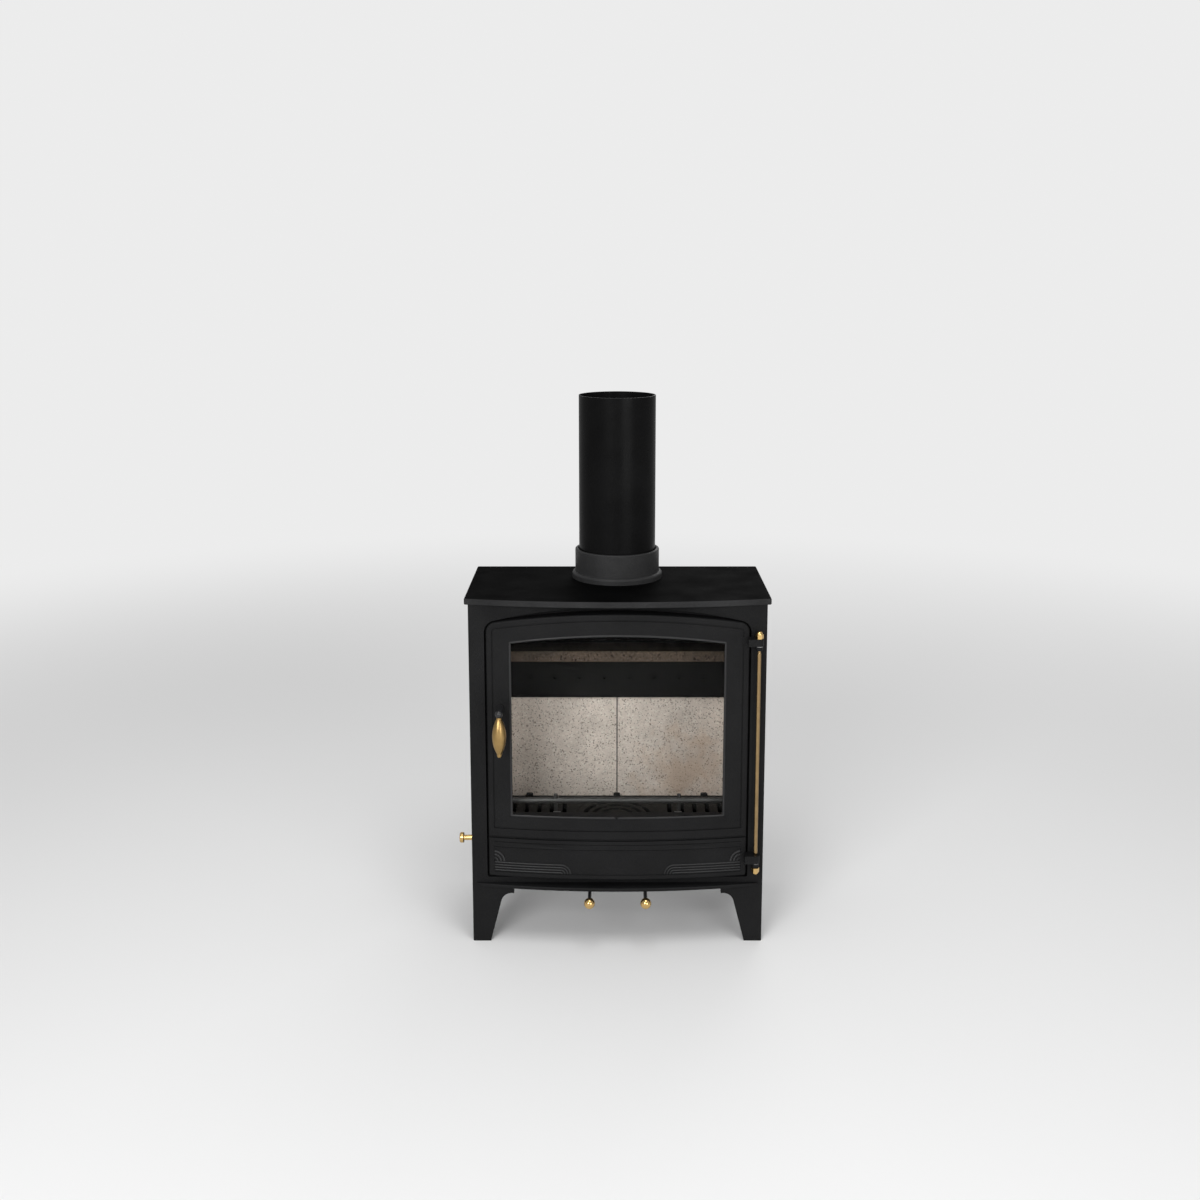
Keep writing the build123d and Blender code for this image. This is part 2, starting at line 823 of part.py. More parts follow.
def riddle_knob():
    """A turned brass knob that screws on to the end of the rod."""
    face_x = riddle_knob_x + riddle_knob_t
    stem = rod_x(riddle_y, riddle_z, riddle_stem_r, face_x - 1, -casing_half_w - 1)
    disc = rod_x(riddle_y, riddle_z, riddle_knob_r, riddle_knob_x, face_x)
    disc = fillet(disc.faces().sort_by(Axis.X)[0].edges(), riddle_face_r)
    disc = fillet(disc.faces().sort_by(Axis.X)[-1].edges(), riddle_back_r)
    return disc + stem - rod_x(riddle_y, riddle_z, riddle_rod_r,
                               -casing_half_w - rod_screwed_in, -casing_half_w)


def log_guard():
    """A round bar on two posts that keeps the fuel off the glass."""
    bar = rod_x(guard_y, guard_z, guard_r, -guard_half_w, guard_half_w)
    bar = fillet(bar.edges(), guard_end_r)
    for side in (-1, 1):
        bar += rod_z(side * guard_post_x, guard_y, guard_post_r, grate_top_z - guard_post_in,
                     guard_post_top_z)
    return bar


def pan_runners():
    shape = block(runner_x - runner_half_w, runner_x + runner_half_w, grate_front_y, pan_rear_y,
                  base_top_z, pan_low_z - fit_gap)
    inner = runner_half_w - runner_wall
    shape -= block(runner_x - inner, runner_x + inner, grate_front_y, pan_rear_y, base_top_z,
                   pan_low_z - runner_wall)
    return [mirror(shape, about=Plane.YZ), shape]


def ash_pan():
    high = pan_low_z + pan_h
    pan = block(-pan_half_w, pan_half_w, pan_front_y + pan_pull_reach, pan_rear_y, pan_low_z, high)
    pan = fillet(pan.edges().filter_by(Axis.Z), pan_corner_r)
    hollow = block(-pan_half_w + pan_wall, pan_half_w - pan_wall, pan_front_y + pan_pull_reach + pan_wall,
                   pan_rear_y - pan_wall, pan_low_z + pan_wall, high + 1)
    pan -= fillet(hollow.edges().filter_by(Axis.Z), pan_corner_r - pan_wall)
    pull = block(-pan_pull_half_w, pan_pull_half_w, pan_front_y, pan_front_y + pan_pull_reach + pan_wall,
                 high - pan_pull_reach, high)
    return pan + pull


def door_casting():
    door = prism_y(door_face(0), door_bow_y - 1, door_back_y)
    door &= bow_drum(door_bow_y, door_low_z - 1, door_crown_z + 1)
    rim = [e for e in door.edges() if e.bounding_box().max.Y < door_back_y - 2]
    door = fillet(rim, door_edge_r)
    door -= prism_y(window_face(0), door_bow_y - 5, door_back_y + 1)
    seat = glass_lap + glass_clear
    door -= prism_y(window_face(seat), window_rope_y, door_back_y + 1)
    groove_y = door_back_y - rope_groove_depth
    door -= prism_y(door_face(rope_inset) - door_face(rope_inset + rope_w), groove_y, door_back_y + 1)
    door -= face_grooves()
    door += panel_relief()
    hollow = block(-hollow_half_w, hollow_half_w, door_bow_y - 1, door_back_y + 1, hollow_low_z,
                   hollow_high_z)
    door -= hollow & bow_drum(door_bow_y, hollow_low_z, hollow_high_z, panel_wall)
    for low, height in ((top_lug_low_z, top_lug_h), (low_lug_low_z, low_lug_h)):
        door += door_lug(low, height)
        door -= rod_z(hinge_x, hinge_y, hinge_pin_r + hinge_clear, low - 1, low + height + 1)
    door -= rod_y(handle_x, spindle_z, spindle_r + spindle_clear, door_bow_y - 5, door_back_y + 1)
    for x, z, turn in clip_places():
        away = clip_screw_offset(turn)
        hole_y = door_back_y - clip_screw_l - 0.5
        door -= rod_y(x + away[0], z + away[1], clip_screw_r + fit_gap, hole_y, door_back_y + 1)
    return door


def face_ring(depth, z0, z1):
    """The skin of the door's face between two heights, a given depth thick."""
    return bow_drum(door_bow_y, z0, z1, -5) - bow_drum(door_bow_y, z0, z1, depth)


def face_grooves():
    """What is cut into the face: the border groove, the shadow line, two fine lines and the panel's field."""
    mid = border_w + border_groove_w / 2

    def border(inset):
        return arched_face(
            door_half_w - inset,
            border_groove_z + inset - mid,
            door_crown_z - inset,
            door_arch_r - inset,
            door_corner_r - inset,
            1.0,
        )

    ring = prism_y(border(border_w) - border(border_w + border_groove_w), door_bow_y - 8, door_back_y)
    cuts = ring & face_ring(border_groove_depth, door_low_z, door_crown_z + 5)
    width = block(-door_half_w - 2, door_half_w + 2, door_bow_y - 8, door_back_y, 0, casing_top_z)
    cuts += face_ring(shadow_depth, shadow_low_z, shadow_high_z) & width
    inner_w = door_half_w - border_w
    inner = block(-inner_w, inner_w, door_bow_y - 8, door_back_y, 0, casing_top_z)
    for z in panel_line_zs:
        cuts += face_ring(panel_line_depth, z - panel_line_w / 2, z + panel_line_w / 2) & inner
    cuts += face_ring(field_depth, field_low_z, field_high_z) & inner
    return cuts


def panel_relief():
    """The raised quarter fans and the stepped ridges at both ends of the lower panel."""
    inner_w = door_half_w - border_w
    shapes = Sketch()
    for r in fan_radii:
        shapes += Circle(r) - Circle(r - fan_ridge_w)
    shapes &= Pos(fan_radii[0] / 2, fan_radii[0] / 2) * Rectangle(fan_radii[0], fan_radii[0])
    for n in range(1, int(90 / fan_cut_step_deg)):
        cut = Rectangle(fan_radii[0], fan_cut_w)
        shapes -= Rot(0, 0, fan_cut_step_deg * n) * Pos(fan_radii[0] / 2, 0) * cut
    shapes = Pos(-inner_w, fan_z) * shapes
    for z in ridge_zs:
        turn_r = z - ridge_turn_z
        line = Pos((-inner_w - ridge_end_x) / 2, z) * Rectangle(inner_w - ridge_end_x, ridge_w)
        quarter = Circle(turn_r + ridge_w / 2) - Circle(max(turn_r - ridge_w / 2, 0.1))
        quarter &= Pos(turn_r, turn_r) * Rectangle(2 * turn_r, 2 * turn_r)
        shapes += line
        shapes += Pos(-ridge_end_x, ridge_turn_z) * quarter
    left = prism_y(shapes, door_bow_y - 5, door_back_y - 5)
    skin = bow_drum(door_bow_y, field_low_z, field_high_z, field_depth - relief_h)
    skin -= bow_drum(door_bow_y, field_low_z, field_high_z, field_depth + 0.5)
    left &= skin
    return left + mirror(left, about=Plane.YZ)


def door_lug(low, height):
    """An arm from the door's edge to a round eye on the hinge line, with its root inside the stile."""
    back = front_y - lug_back_gap
    eye = rod_z(hinge_x, hinge_y, door_lug_r, low, low + height)
    high = low + height
    arm = block(door_half_w - lug_arm_in, hinge_x, hinge_y - door_lug_r, back, low, high)
    root_back = door_back_y - rope_groove_depth - 1
    root = block(door_half_w - lug_root_in, door_half_w - lug_root_gap,
                 front_y - lug_root_proud, root_back, low, high)
    return eye + arm + root


def window_glass():
    return prism_y(window_face(glass_lap), glass_front_y, glass_back_y)


def glass_rope():
    ring = window_face(glass_lap) - window_face(glass_lap - glass_rope_w)
    return prism_y(ring, window_rope_y, glass_front_y)


def clip_places():
    """Where each glass clip sits, and the way that it points from the window's edge."""
    side_x = window_half_w + glass_lap
    low_z = window_low_z - glass_lap
    high_z = window_crown_z + glass_lap
    arch_fall = high_clip_x**2 / (2 * window_arch_r)
    places = [(s * side_x, z, 90 - 90 * s) for s in (-1, 1) for z in side_clip_zs]
    places += [(s * low_clip_x, low_z, 270) for s in (-1, 1)]
    places += [(s * high_clip_x, high_z - arch_fall, 90) for s in (-1, 1)]
    return places


def clip_screw_offset(turn):
    return clip_screw_in * math.cos(math.radians(turn)), clip_screw_in * math.sin(math.radians(turn))


def glass_clips():
    """Stepped steel clips: one end is screwed to the door's back and the other presses on the glass."""
    sheet = clip_t
    top = door_back_y + sheet - glass_back_y
    foot = Pos(clip_foot / 2 - sheet, 0, top - sheet / 2) * Box(clip_foot, clip_w, sheet)
    step = Pos(-sheet / 2, 0, top / 2) * Box(sheet, clip_w, top)
    toe = Pos(-clip_toe / 2, 0, sheet / 2) * Box(clip_toe, clip_w, sheet)
    clip = foot + step + toe - rod_z(clip_screw_in, 0, clip_screw_r + fit_gap, 0, top + 1)
    stand = Plane(origin=(0, glass_back_y, 0), x_dir=(1, 0, 0), z_dir=(0, 1, 0))
    return [Pos(x, 0, z) * Rot(0, -turn, 0) * (stand * clip) for x, z, turn in clip_places()]


def clip_screws():
    screws = []
    for x, z, turn in clip_places():
        away = clip_screw_offset(turn)
        sx, sz = x + away[0], z + away[1]
        seat_y = door_back_y + clip_t
        head = rod_y(sx, sz, clip_head_r, seat_y, seat_y + clip_head_h)
        head = fillet(head.faces().sort_by(Axis.Y)[-1].edges(), clip_head_h * 0.45)
        screws.append(head + rod_y(sx, sz, clip_screw_r, door_back_y - clip_screw_l, seat_y))
    return screws


def door_rope():
    ring = door_face(rope_inset) - door_face(rope_inset + rope_w)
    return prism_y(ring, door_back_y - rope_groove_depth + fit_gap, pocket_floor_y - rope_clear)


def handle_spindle():
    """A forged spindle: the bar through the stile, a round elbow outside, and the stud in the grip."""
    elbow_y = spindle_front_y
    hub_end = side_front_y + tongue_gap + keeper_t + tongue_t
    bar = rod_y(handle_x, spindle_z, spindle_r, elbow_y, door_back_y + 0.5)
    bar += rod_y(handle_x, spindle_z, spindle_thread_r, door_back_y, hub_end + spindle_nut_h + 1)
    elbow = Pos(handle_x, elbow_y, spindle_z) * Sphere(elbow_r)
    stud_low = grip_low_z() - grip_nut_h * 0.6
    return bar + elbow + rod_z(handle_x, elbow_y, stud_r, stud_low, spindle_z)


def grip_high_z():
    return spindle_z - math.sqrt(elbow_r**2 - grip_end_r**2)


def grip_low_z():
    return grip_high_z() - 2 * (grip_half_h + grip_collar_h)


def handle_grip():
    """A turned brass barrel grip with a small collar at each end."""
    mid_z = grip_high_z() - grip_half_h - grip_collar_h
    swell = ThreePointArc((grip_end_r, -grip_half_h), (grip_r, 0), (grip_end_r, grip_half_h))
    inner = Polyline((grip_end_r, grip_half_h), (0, grip_half_h), (0, -grip_half_h),
                     (grip_end_r, -grip_half_h))
    barrel = revolve(Plane.XZ * make_face(swell + inner), Axis.Z)
    collar = Cylinder(grip_end_r + grip_collar_w, 2 * (grip_half_h + grip_collar_h))
    collar = fillet(collar.edges(), grip_edge_r)
    grip = barrel + collar - Cylinder(stud_r + fit_gap, 3 * grip_half_h)
    grip = Pos(handle_x, spindle_front_y, mid_z) * grip
    return grip - Pos(handle_x, spindle_front_y, spindle_z) * Sphere(elbow_r)


def grip_nut():
    nut = rod_z(handle_x, spindle_front_y, grip_nut_r, grip_low_z() - grip_nut_h, grip_low_z())
    nut = fillet(nut.faces().sort_by(Axis.Z)[0].edges(), grip_nut_h * 0.7)
    return nut - rod_z(handle_x, spindle_front_y, stud_r, grip_low_z() - grip_nut_h * 0.6, grip_low_z())


def latch_tongue():
    """A hub on the spindle's inner end, with the flat tongue that swings behind the front plate."""
    y0 = side_front_y + tongue_gap + keeper_t
    hub = rod_y(handle_x, spindle_z, tongue_hub_r, door_back_y + 0.6, y0 + tongue_t)
    arm = block(handle_x - tongue_w / 2, handle_x + tongue_w / 2, y0, y0 + tongue_t, spindle_z,
                spindle_z + tongue_reach)
    arm = fillet(arm.edges().filter_by(Axis.Y).group_by(Axis.Z)[-1], tongue_end_r)
    tongue = hub + arm
    return tongue - rod_y(handle_x, spindle_z, spindle_thread_r, door_back_y, y0 + tongue_t + 1)


def spindle_nut():
    y0 = side_front_y + tongue_gap + keeper_t + tongue_t
    nut = Pos(handle_x, y0, spindle_z) * Rot(-90, 0, 0) * hex_prism(spindle_nut_af, spindle_nut_h)
    return nut - rod_y(handle_x, spindle_z, spindle_thread_r, y0 - 1, y0 + spindle_nut_h + 1)


def latch_keeper():
    """A wear strip on the back of the front plate, which the tongue bears on."""
    edge = -opening_half_w - keeper_in
    strip = block(edge - keeper_w, edge, side_front_y, side_front_y + keeper_t, spindle_z - keeper_h / 2,
                  spindle_z + keeper_h / 2)
    return chamfer(strip.faces().sort_by(Axis.Y)[-1].edges(), keeper_t * 0.4)


def hinge_rod():
    """The long brass hinge rod: full size between the lugs, tapered to a pin through each pair."""
    low_z = low_lug_low_z - washer_t - bracket_h - nut_gap - acorn_hex_h
    high_z = top_lug_low_z + top_lug_h + nut_gap + acorn_hex_h
    body_low = low_lug_low_z + low_lug_h + nut_gap
    body_high = top_lug_low_z - washer_t - bracket_h - nut_gap
    r, tip = hinge_rod_r, hinge_pin_r
    half = outline(
        [
            (0, low_z),
            (tip, low_z),
            (tip, body_low + 0.6),
            (r, body_low + 0.6 + hinge_taper),
            (r, body_high - 0.6 - hinge_taper),
            (tip, body_high - 0.6),
            (tip, high_z),
            (0, high_z),
        ]
    )
    return Pos(hinge_x, hinge_y, 0) * revolve(Plane.XZ * half, Axis.Z)


def acorn_nut():
    """A domed brass nut that stands on z = 0."""
    body = hex_prism(acorn_af, acorn_hex_h)
    cone = Pos(0, 0, acorn_hex_h / 2) * Cone(acorn_af * 0.72, acorn_af * 0.46, acorn_hex_h + 0.02)
    body &= cone + rod_z(0, 0, acorn_af * 0.56, 0, acorn_hex_h)
    dome = Pos(0, 0, acorn_hex_h - 0.2) * Sphere(acorn_dome_r)
    dome &= rod_z(0, 0, acorn_dome_r + 1, acorn_hex_h - 0.3, acorn_hex_h + acorn_dome_r + 1)
    return body + dome - rod_z(0, 0, hinge_pin_r, 0, acorn_hex_h)


def acorn_nuts():
    upper = Pos(hinge_x, hinge_y, top_lug_low_z + top_lug_h + nut_gap) * acorn_nut()
    low_z = low_lug_low_z - washer_t - bracket_h - nut_gap
    lower = Pos(hinge_x, hinge_y, low_z) * Rot(180, 0, 0) * acorn_nut()
    return [lower, upper]


def hinge_brackets():
    brackets = []
    for high in (low_lug_low_z - washer_t, top_lug_low_z - washer_t):
        eye = rod_z(hinge_x, hinge_y, bracket_r, high - bracket_h, high)
        eye = chamfer(eye.faces().sort_by(Axis.Z)[0].edges(), 1.5)
        web = block(hinge_x - bracket_r + 1, hinge_x + bracket_r - 1, hinge_y, front_y,
                    high - bracket_h, high)
        brackets.append(eye + web - rod_z(hinge_x, hinge_y, hinge_pin_r, high - bracket_h - 1, high + 1))
    return brackets


def hinge_washers():
    return [
        rod_z(hinge_x, hinge_y, bracket_r, low - washer_t, low)
        - rod_z(hinge_x, hinge_y, hinge_pin_r, low - washer_t - 1, low + 1)
        for low in (low_lug_low_z, top_lug_low_z)
    ]


def air_slide(x):
    """A ported plate under the base, with a lug that its rod screws into."""
    high = leg_height - slide_clear
    low = high - slide_t
    plate = block(x - slide_half_w, x + slide_half_w, slide_front_y, slide_rear_y, low, high)
    for y in port_places(slide_travel):
        plate -= port(x, y, low - 1, high + 1)
    lug = block(x - slide_lug_half_w, x + slide_lug_half_w, slide_front_y, slide_front_y + slide_lug_t,
                knob_z - slide_lug_drop, low + 1)
    return plate + lug - rod_y(x, knob_z, knob_rod_r, slide_front_y - 1, slide_front_y + slide_lug_t + 1)


def control_rod(x):
    return rod_y(x, knob_z, knob_rod_r, knob_y + knob_r - rod_in_knob, slide_front_y + rod_end)


def control_knob(x):
    """A turned brass ball on a short waisted neck."""
    ball = Pos(x, knob_y, knob_z) * Sphere(knob_r)
    back = knob_y + knob_r
    neck = rod_y(x, knob_z, knob_rod_r + neck_extra_r, back - rod_in_knob, back + neck_l)
    neck = fillet(neck.faces().sort_by(Axis.Y)[-1].edges(), neck_edge_r)
    return ball + neck - rod_y(x, knob_z, knob_rod_r, back - rod_in_knob, back + neck_l + 1)


def slide_guides():
    """Two lipped rails for each slide, welded under the base plate."""
    y0 = slide_front_y - slide_travel - 2
    lip_top = leg_height - 2 * slide_clear - slide_t
    rails = []
    for x in (-knob_x, knob_x):
        for side in (-1, 1):
            near = x + side * (slide_half_w + slide_clear)
            far = near + side * guide_wall
            lip = near - side * guide_lip
            wall = block(min(near, far), max(near, far), y0, slide_rear_y, lip_top - guide_wall, leg_height)
            shelf = block(min(lip, far), max(lip, far), y0, slide_rear_y, lip_top - guide_wall, lip_top)
            rails.append(wall + shelf)
    return rails


pieces = {
    "top_plate": top_plate(),
    "base_plate": base_plate(),
    "front_plate": front_plate(),
    "left_side_plate": side_plate(-1),
    "right_side_plate": side_plate(1),
    "back_plate": back_plate(),
    "rear_blanking_plate": rear_blanking_plate(),
    "blanking_plate_bolts": blanking_plate_bolts(),
    "front_left_leg": leg(-1, -1),
    "front_right_leg": leg(1, -1),
    "rear_left_leg": leg(-1, 1),
    "rear_right_leg": leg(1, 1),
    "leg_bolts": leg_bolts(),
    "top_plate_bolts": top_plate_bolts(),
    "flue_collar": flue_collar(),
    "collar_bolts": collar_bolts(),
    "collar_rope": collar_rope(),
    "flue_pipe": flue_pipe(),
    "left_rear_brick": rear_brick(-1),
    "right_rear_brick": rear_brick(1),
    "left_side_brick": side_brick(-1),
    "right_side_brick": side_brick(1),
    "baffle_plate": baffle_plate(),
    "baffle_rests": baffle_rests(),
    "air_box": air_box(),
    "air_risers": air_risers(),
    "secondary_air_duct": secondary_air_duct(),
    "airwash_deflector": airwash_deflector(),
    "grate_bearers": grate_bearers(),
    "grate_frame": grate_frame(),
    "riddling_disc": riddling_disc(),
    "riddle_rod": riddle_rod(),
    "riddle_knob": riddle_knob(),
    "log_guard": log_guard(),
    "pan_runners": pan_runners(),
    "ash_pan": ash_pan(),
    "door_casting": door_casting(),
    "window_glass": window_glass(),
    "glass_rope": glass_rope(),
    "glass_clips": glass_clips(),
    "clip_screws": clip_screws(),
    "door_rope": door_rope(),
    "handle_spindle": handle_spindle(),
    "handle_grip": handle_grip(),
    "grip_nut": grip_nut(),
    "latch_tongue": latch_tongue(),
    "spindle_nut": spindle_nut(),
    "latch_keeper": latch_keeper(),
    "hinge_rod": hinge_rod(),
    "acorn_nuts": acorn_nuts(),
    "hinge_brackets": hinge_brackets(),
    "hinge_washers": hinge_washers(),
    "primary_slide": air_slide(-knob_x),
    "primary_rod": control_rod(-knob_x),
    "primary_knob": control_knob(-knob_x),
    "secondary_slide": air_slide(knob_x),
    "secondary_rod": control_rod(knob_x),
    "secondary_knob": control_knob(knob_x),
    "slide_guides": slide_guides(),
}

# The part's origin lies on the hearth under the middle of its whole extent, knobs and overhangs included.
extent_mid_x = (riddle_knob_x + casing_half_w + top_overhang) / 2
extent_mid_y = (knob_y - knob_r + rear_y + top_rear_overhang) / 2

os.makedirs("parts", exist_ok=True)
for name, piece in pieces.items():
    solids = piece if isinstance(piece, list) else [piece]
    placed = [Pos(-extent_mid_x, -extent_mid_y, 0) * solid for solid in solids]
    shape = Compound(children=placed) if len(placed) > 1 else placed[0]
    export_step(shape, f"parts/{name}.step")
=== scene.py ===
import math

import bmesh
import bpy
import numpy as np
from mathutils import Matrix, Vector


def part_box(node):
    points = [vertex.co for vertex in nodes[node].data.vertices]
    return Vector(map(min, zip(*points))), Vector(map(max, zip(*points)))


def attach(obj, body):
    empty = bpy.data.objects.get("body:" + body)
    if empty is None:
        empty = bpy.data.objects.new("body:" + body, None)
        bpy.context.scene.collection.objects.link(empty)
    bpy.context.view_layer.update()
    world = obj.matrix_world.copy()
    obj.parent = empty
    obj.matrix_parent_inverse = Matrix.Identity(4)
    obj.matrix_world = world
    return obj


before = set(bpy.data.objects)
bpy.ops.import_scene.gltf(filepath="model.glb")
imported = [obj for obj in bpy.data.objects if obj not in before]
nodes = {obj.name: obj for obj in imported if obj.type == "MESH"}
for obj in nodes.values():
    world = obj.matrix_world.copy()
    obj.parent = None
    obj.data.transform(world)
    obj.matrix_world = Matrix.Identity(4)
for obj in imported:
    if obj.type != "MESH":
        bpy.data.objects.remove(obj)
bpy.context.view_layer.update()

# Front plate, top plate, legs, rear cover and the casing's hinge lugs.
# All are grey iron castings, fettled, bolted together and sprayed with matt black stove paint,
# which leaves the grain of the moulding sand showing through.
casting_colour = (0.0055, 0.0055, 0.0058)
casting_roughness = 0.6
casting_grain = 0.002
casting_grain_depth = 0.0005
paint_patches = {"grain": 0.09, "detail": 3.0, "low": 0.78, "high": 1.28}
paint_specks = {"grain": 0.0016, "detail": 2.0, "low": 0.82, "high": 1.2}
gloss_patches = {"grain": 0.05, "detail": 4.0}
gloss_spread = 0.07
wave_length = 0.03
wave_share = 1.6
wave_strength = 0.5
grain_strength = 0.8


def blank_finish(name):
    """A new material, as its node tree and its main shader."""
    material = bpy.data.materials.new(name)
    material.use_nodes = True
    tree = material.node_tree
    return material, tree, tree.nodes["Principled BSDF"]


def add_node(tree, kind, feeds=(), **settings):
    """A node of one kind, with its settings, and its inputs fed by (input, socket or number) pairs."""
    node = tree.nodes.new(kind)
    for key, value in settings.items():
        setattr(node, key, value)
    for key, value in feeds:
        if isinstance(value, bpy.types.NodeSocket):
            tree.links.new(value, node.inputs[key])
        else:
            node.inputs[key].default_value = value
    return node


def place_in_part(tree):
    """Where a point lies on the part, in metres."""
    return add_node(tree, "ShaderNodeTexCoord").outputs["Object"]


def drift(tree, place, grain, detail, low, high):
    """A soft random value between low and high that drifts over patches of the size of grain."""
    cloud = add_node(
        tree,
        "ShaderNodeTexNoise",
        feeds=[("Vector", place), ("Scale", 1 / grain), ("Detail", detail), ("Roughness", 0.55)],
    )
    spread = add_node(
        tree,
        "ShaderNodeMapRange",
        feeds=[
            ("Value", cloud.outputs["Fac"]),
            ("From Min", 0.3),
            ("From Max", 0.7),
            ("To Min", low),
            ("To Max", high),
        ],
    )
    return spread.outputs["Result"]


def shaded(tree, colour, strength):
    """One colour made darker or lighter by a drifting strength."""
    return add_node(
        tree,
        "ShaderNodeVectorMath",
        feeds=[(0, colour), ("Scale", strength)],
        operation="SCALE",
    ).outputs["Vector"]


def stove_paint(name, colour, roughness, grain, grain_depth, gloss=0.145):
    """Matt black heat-proof paint: its shade and gloss drift over the surface, and it is as rough as
    what it covers."""
    material, tree, shader = blank_finish(name)
    place = place_in_part(tree)
    patches = drift(tree, place, **paint_patches)
    specks = drift(tree, place, **paint_specks)
    shade = add_node(tree, "ShaderNodeMath", feeds=[(0, patches), (1, specks)], operation="MULTIPLY")
    tree.links.new(shaded(tree, colour, shade.outputs[0]), shader.inputs["Base Color"])
    least, most = roughness - gloss_spread, roughness + gloss_spread
    tree.links.new(drift(tree, place, **gloss_patches, low=least, high=most), shader.inputs["Roughness"])
    shader.inputs["Specular IOR Level"].default_value = gloss
    pits = drift(tree, place, grain, 3.0, 0.0, 1.0)
    waves = drift(tree, place, wave_length, 2.0, 0.0, 1.0)
    broad = add_node(
        tree,
        "ShaderNodeBump",
        feeds=[("Height", waves), ("Distance", grain_depth * wave_share), ("Strength", wave_strength)],
    )
    fine = add_node(
        tree,
        "ShaderNodeBump",
        feeds=[
            ("Height", pits),
            ("Distance", grain_depth),
            ("Strength", grain_strength),
            ("Normal", broad.outputs["Normal"]),
        ],
    )
    tree.links.new(fine.outputs["Normal"], shader.inputs["Normal"])
    return material


def dress(material, *names):
    """Gives a material to the nodes of these names."""
    for name in names:
        nodes[name].material_slots[0].material = material


cast_iron_paint = stove_paint(
    "painted_cast_iron", casting_colour, casting_roughness, casting_grain, casting_grain_depth
)
dress(
    cast_iron_paint,
    "front_plate",
    "front_left_leg",
    "front_right_leg",
    "rear_left_leg",
    "rear_right_leg",
    "rear_blanking_plate",
    "hinge_brackets",
)

# Top plate: the one casting that is ground flat on its upper face.
# Its paint is lighter than the casing's, a painted highlight on its rounded edges, and its flat upper face
# is painted far darker, a painted shade. It lies on the casing's welded tabs, and four bolts from below
# hold it.
top_edge_highlight_colour = (0.026, 0.026, 0.0265)
top_painted_shade_share = 0.07
top_roughness = 0.62
top_grain = 0.0007
top_grain_depth = 0.0001
top_gloss = 0.006
flat_from = 0.9
flat_to = 0.99


def painted_shade_on_top(material, share):
    """Paints shade where a paint faces up: its colour stays on the sides and is scaled darker on the flat.
    """
    tree = material.node_tree
    shader = tree.nodes["Principled BSDF"]
    painted = shader.inputs["Base Color"].links[0].from_socket
    facing = add_node(tree, "ShaderNodeNewGeometry").outputs["True Normal"]
    upward = add_node(tree, "ShaderNodeSeparateXYZ", feeds=[("Vector", facing)]).outputs["Z"]
    strength = add_node(
        tree,
        "ShaderNodeMapRange",
        feeds=[
            ("Value", upward),
            ("From Min", flat_from),
            ("From Max", flat_to),
            ("To Min", 1.0),
            ("To Max", share),
        ],
    ).outputs["Result"]
    tree.links.new(shaded(tree, painted, strength), shader.inputs["Base Color"])
    return material


top_paint = stove_paint(
    "top_plate_painted_highlight_and_shade", top_edge_highlight_colour, top_roughness, top_grain, top_grain_depth, gloss=top_gloss
)
dress(painted_shade_on_top(top_paint, top_painted_shade_share), "top_plate")

# Casing sides, back and base: rolled steel plate, cut, folded at no edge and welded or bolted into a box.
# Plate is smoother than a casting, so the same paint lies flatter on it.
plate_roughness = 0.58
plate_grain = 0.0014
plate_grain_depth = 0.00022
plate_paint = stove_paint(
    "painted_steel_plate", casting_colour, plate_roughness, plate_grain, plate_grain_depth
)
dress(plate_paint, "base_plate", "left_side_plate", "right_side_plate", "back_plate")

# Flue collar: an iron spigot casting with a beaded flange, turned inside and bolted to the top plate.
# The bead catches the light, because it is rubbed when the pipe is fitted.
collar_colour = (0.02, 0.02, 0.0205)
collar_roughness = 0.46
collar_grain = 0.0016
collar_grain_depth = 0.00035
collar_gloss = 0.2
collar_paint = stove_paint(
    "painted_collar", collar_colour, collar_roughness, collar_grain, collar_grain_depth, gloss=collar_gloss
)
dress(collar_paint, "flue_collar")

# Flue pipe: 2 mm steel tube, enamelled satin black inside and out, which drops into the collar.
# Enamel flows out in the kiln, so it is smooth with a very shallow orange peel.
pipe_colour = (0.0042, 0.0042, 0.0043)
pipe_roughness = 0.3
pipe_peel = 0.004
pipe_peel_depth = 0.00003
pipe_gloss = 0.05
pipe_enamel = stove_paint(
    "flue_enamel", pipe_colour, pipe_roughness, pipe_peel, pipe_peel_depth, gloss=pipe_gloss
)
dress(pipe_enamel, "flue_pipe")

# Risers, duct, bearers, runners, ash pan and air slides.
# They are folded or drawn from thin steel and dipped in the same black, dulled by heat and fine ash.
sheet_colour = (0.0045, 0.0043, 0.0041)
sheet_roughness = 0.68
sheet_grain = 0.0008
sheet_grain_depth = 0.00005
sheet_gloss = 0.05
sheet_paint = stove_paint(
    "dull_black_sheet", sheet_colour, sheet_roughness, sheet_grain, sheet_grain_depth, gloss=sheet_gloss
)
dress(
    sheet_paint,
    "air_risers",
    "secondary_air_duct",
    "airwash_deflector",
    "grate_bearers",
    "baffle_rests",
    "pan_runners",
    "ash_pan",
    "slide_guides",
    "primary_slide",
    "secondary_slide",
)

# Air box: a folded steel box across the firebox's back, in the same black as the other sheet pieces.
# Each of its eight drilled jets has a ring of painted shade about it, as dark as the open hole, and its
# gloss fades out there too.
jet_height = 0.4016
jet_pitch = 0.0436
jet_radius = 0.0026
jet_painted_shade_radius = 0.0056
jet_painted_shade_share = 0.05
air_box_colour = (0.0095, 0.0093, 0.0091)
air_box_gloss = 0.05
air_box_low, air_box_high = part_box("air_box")


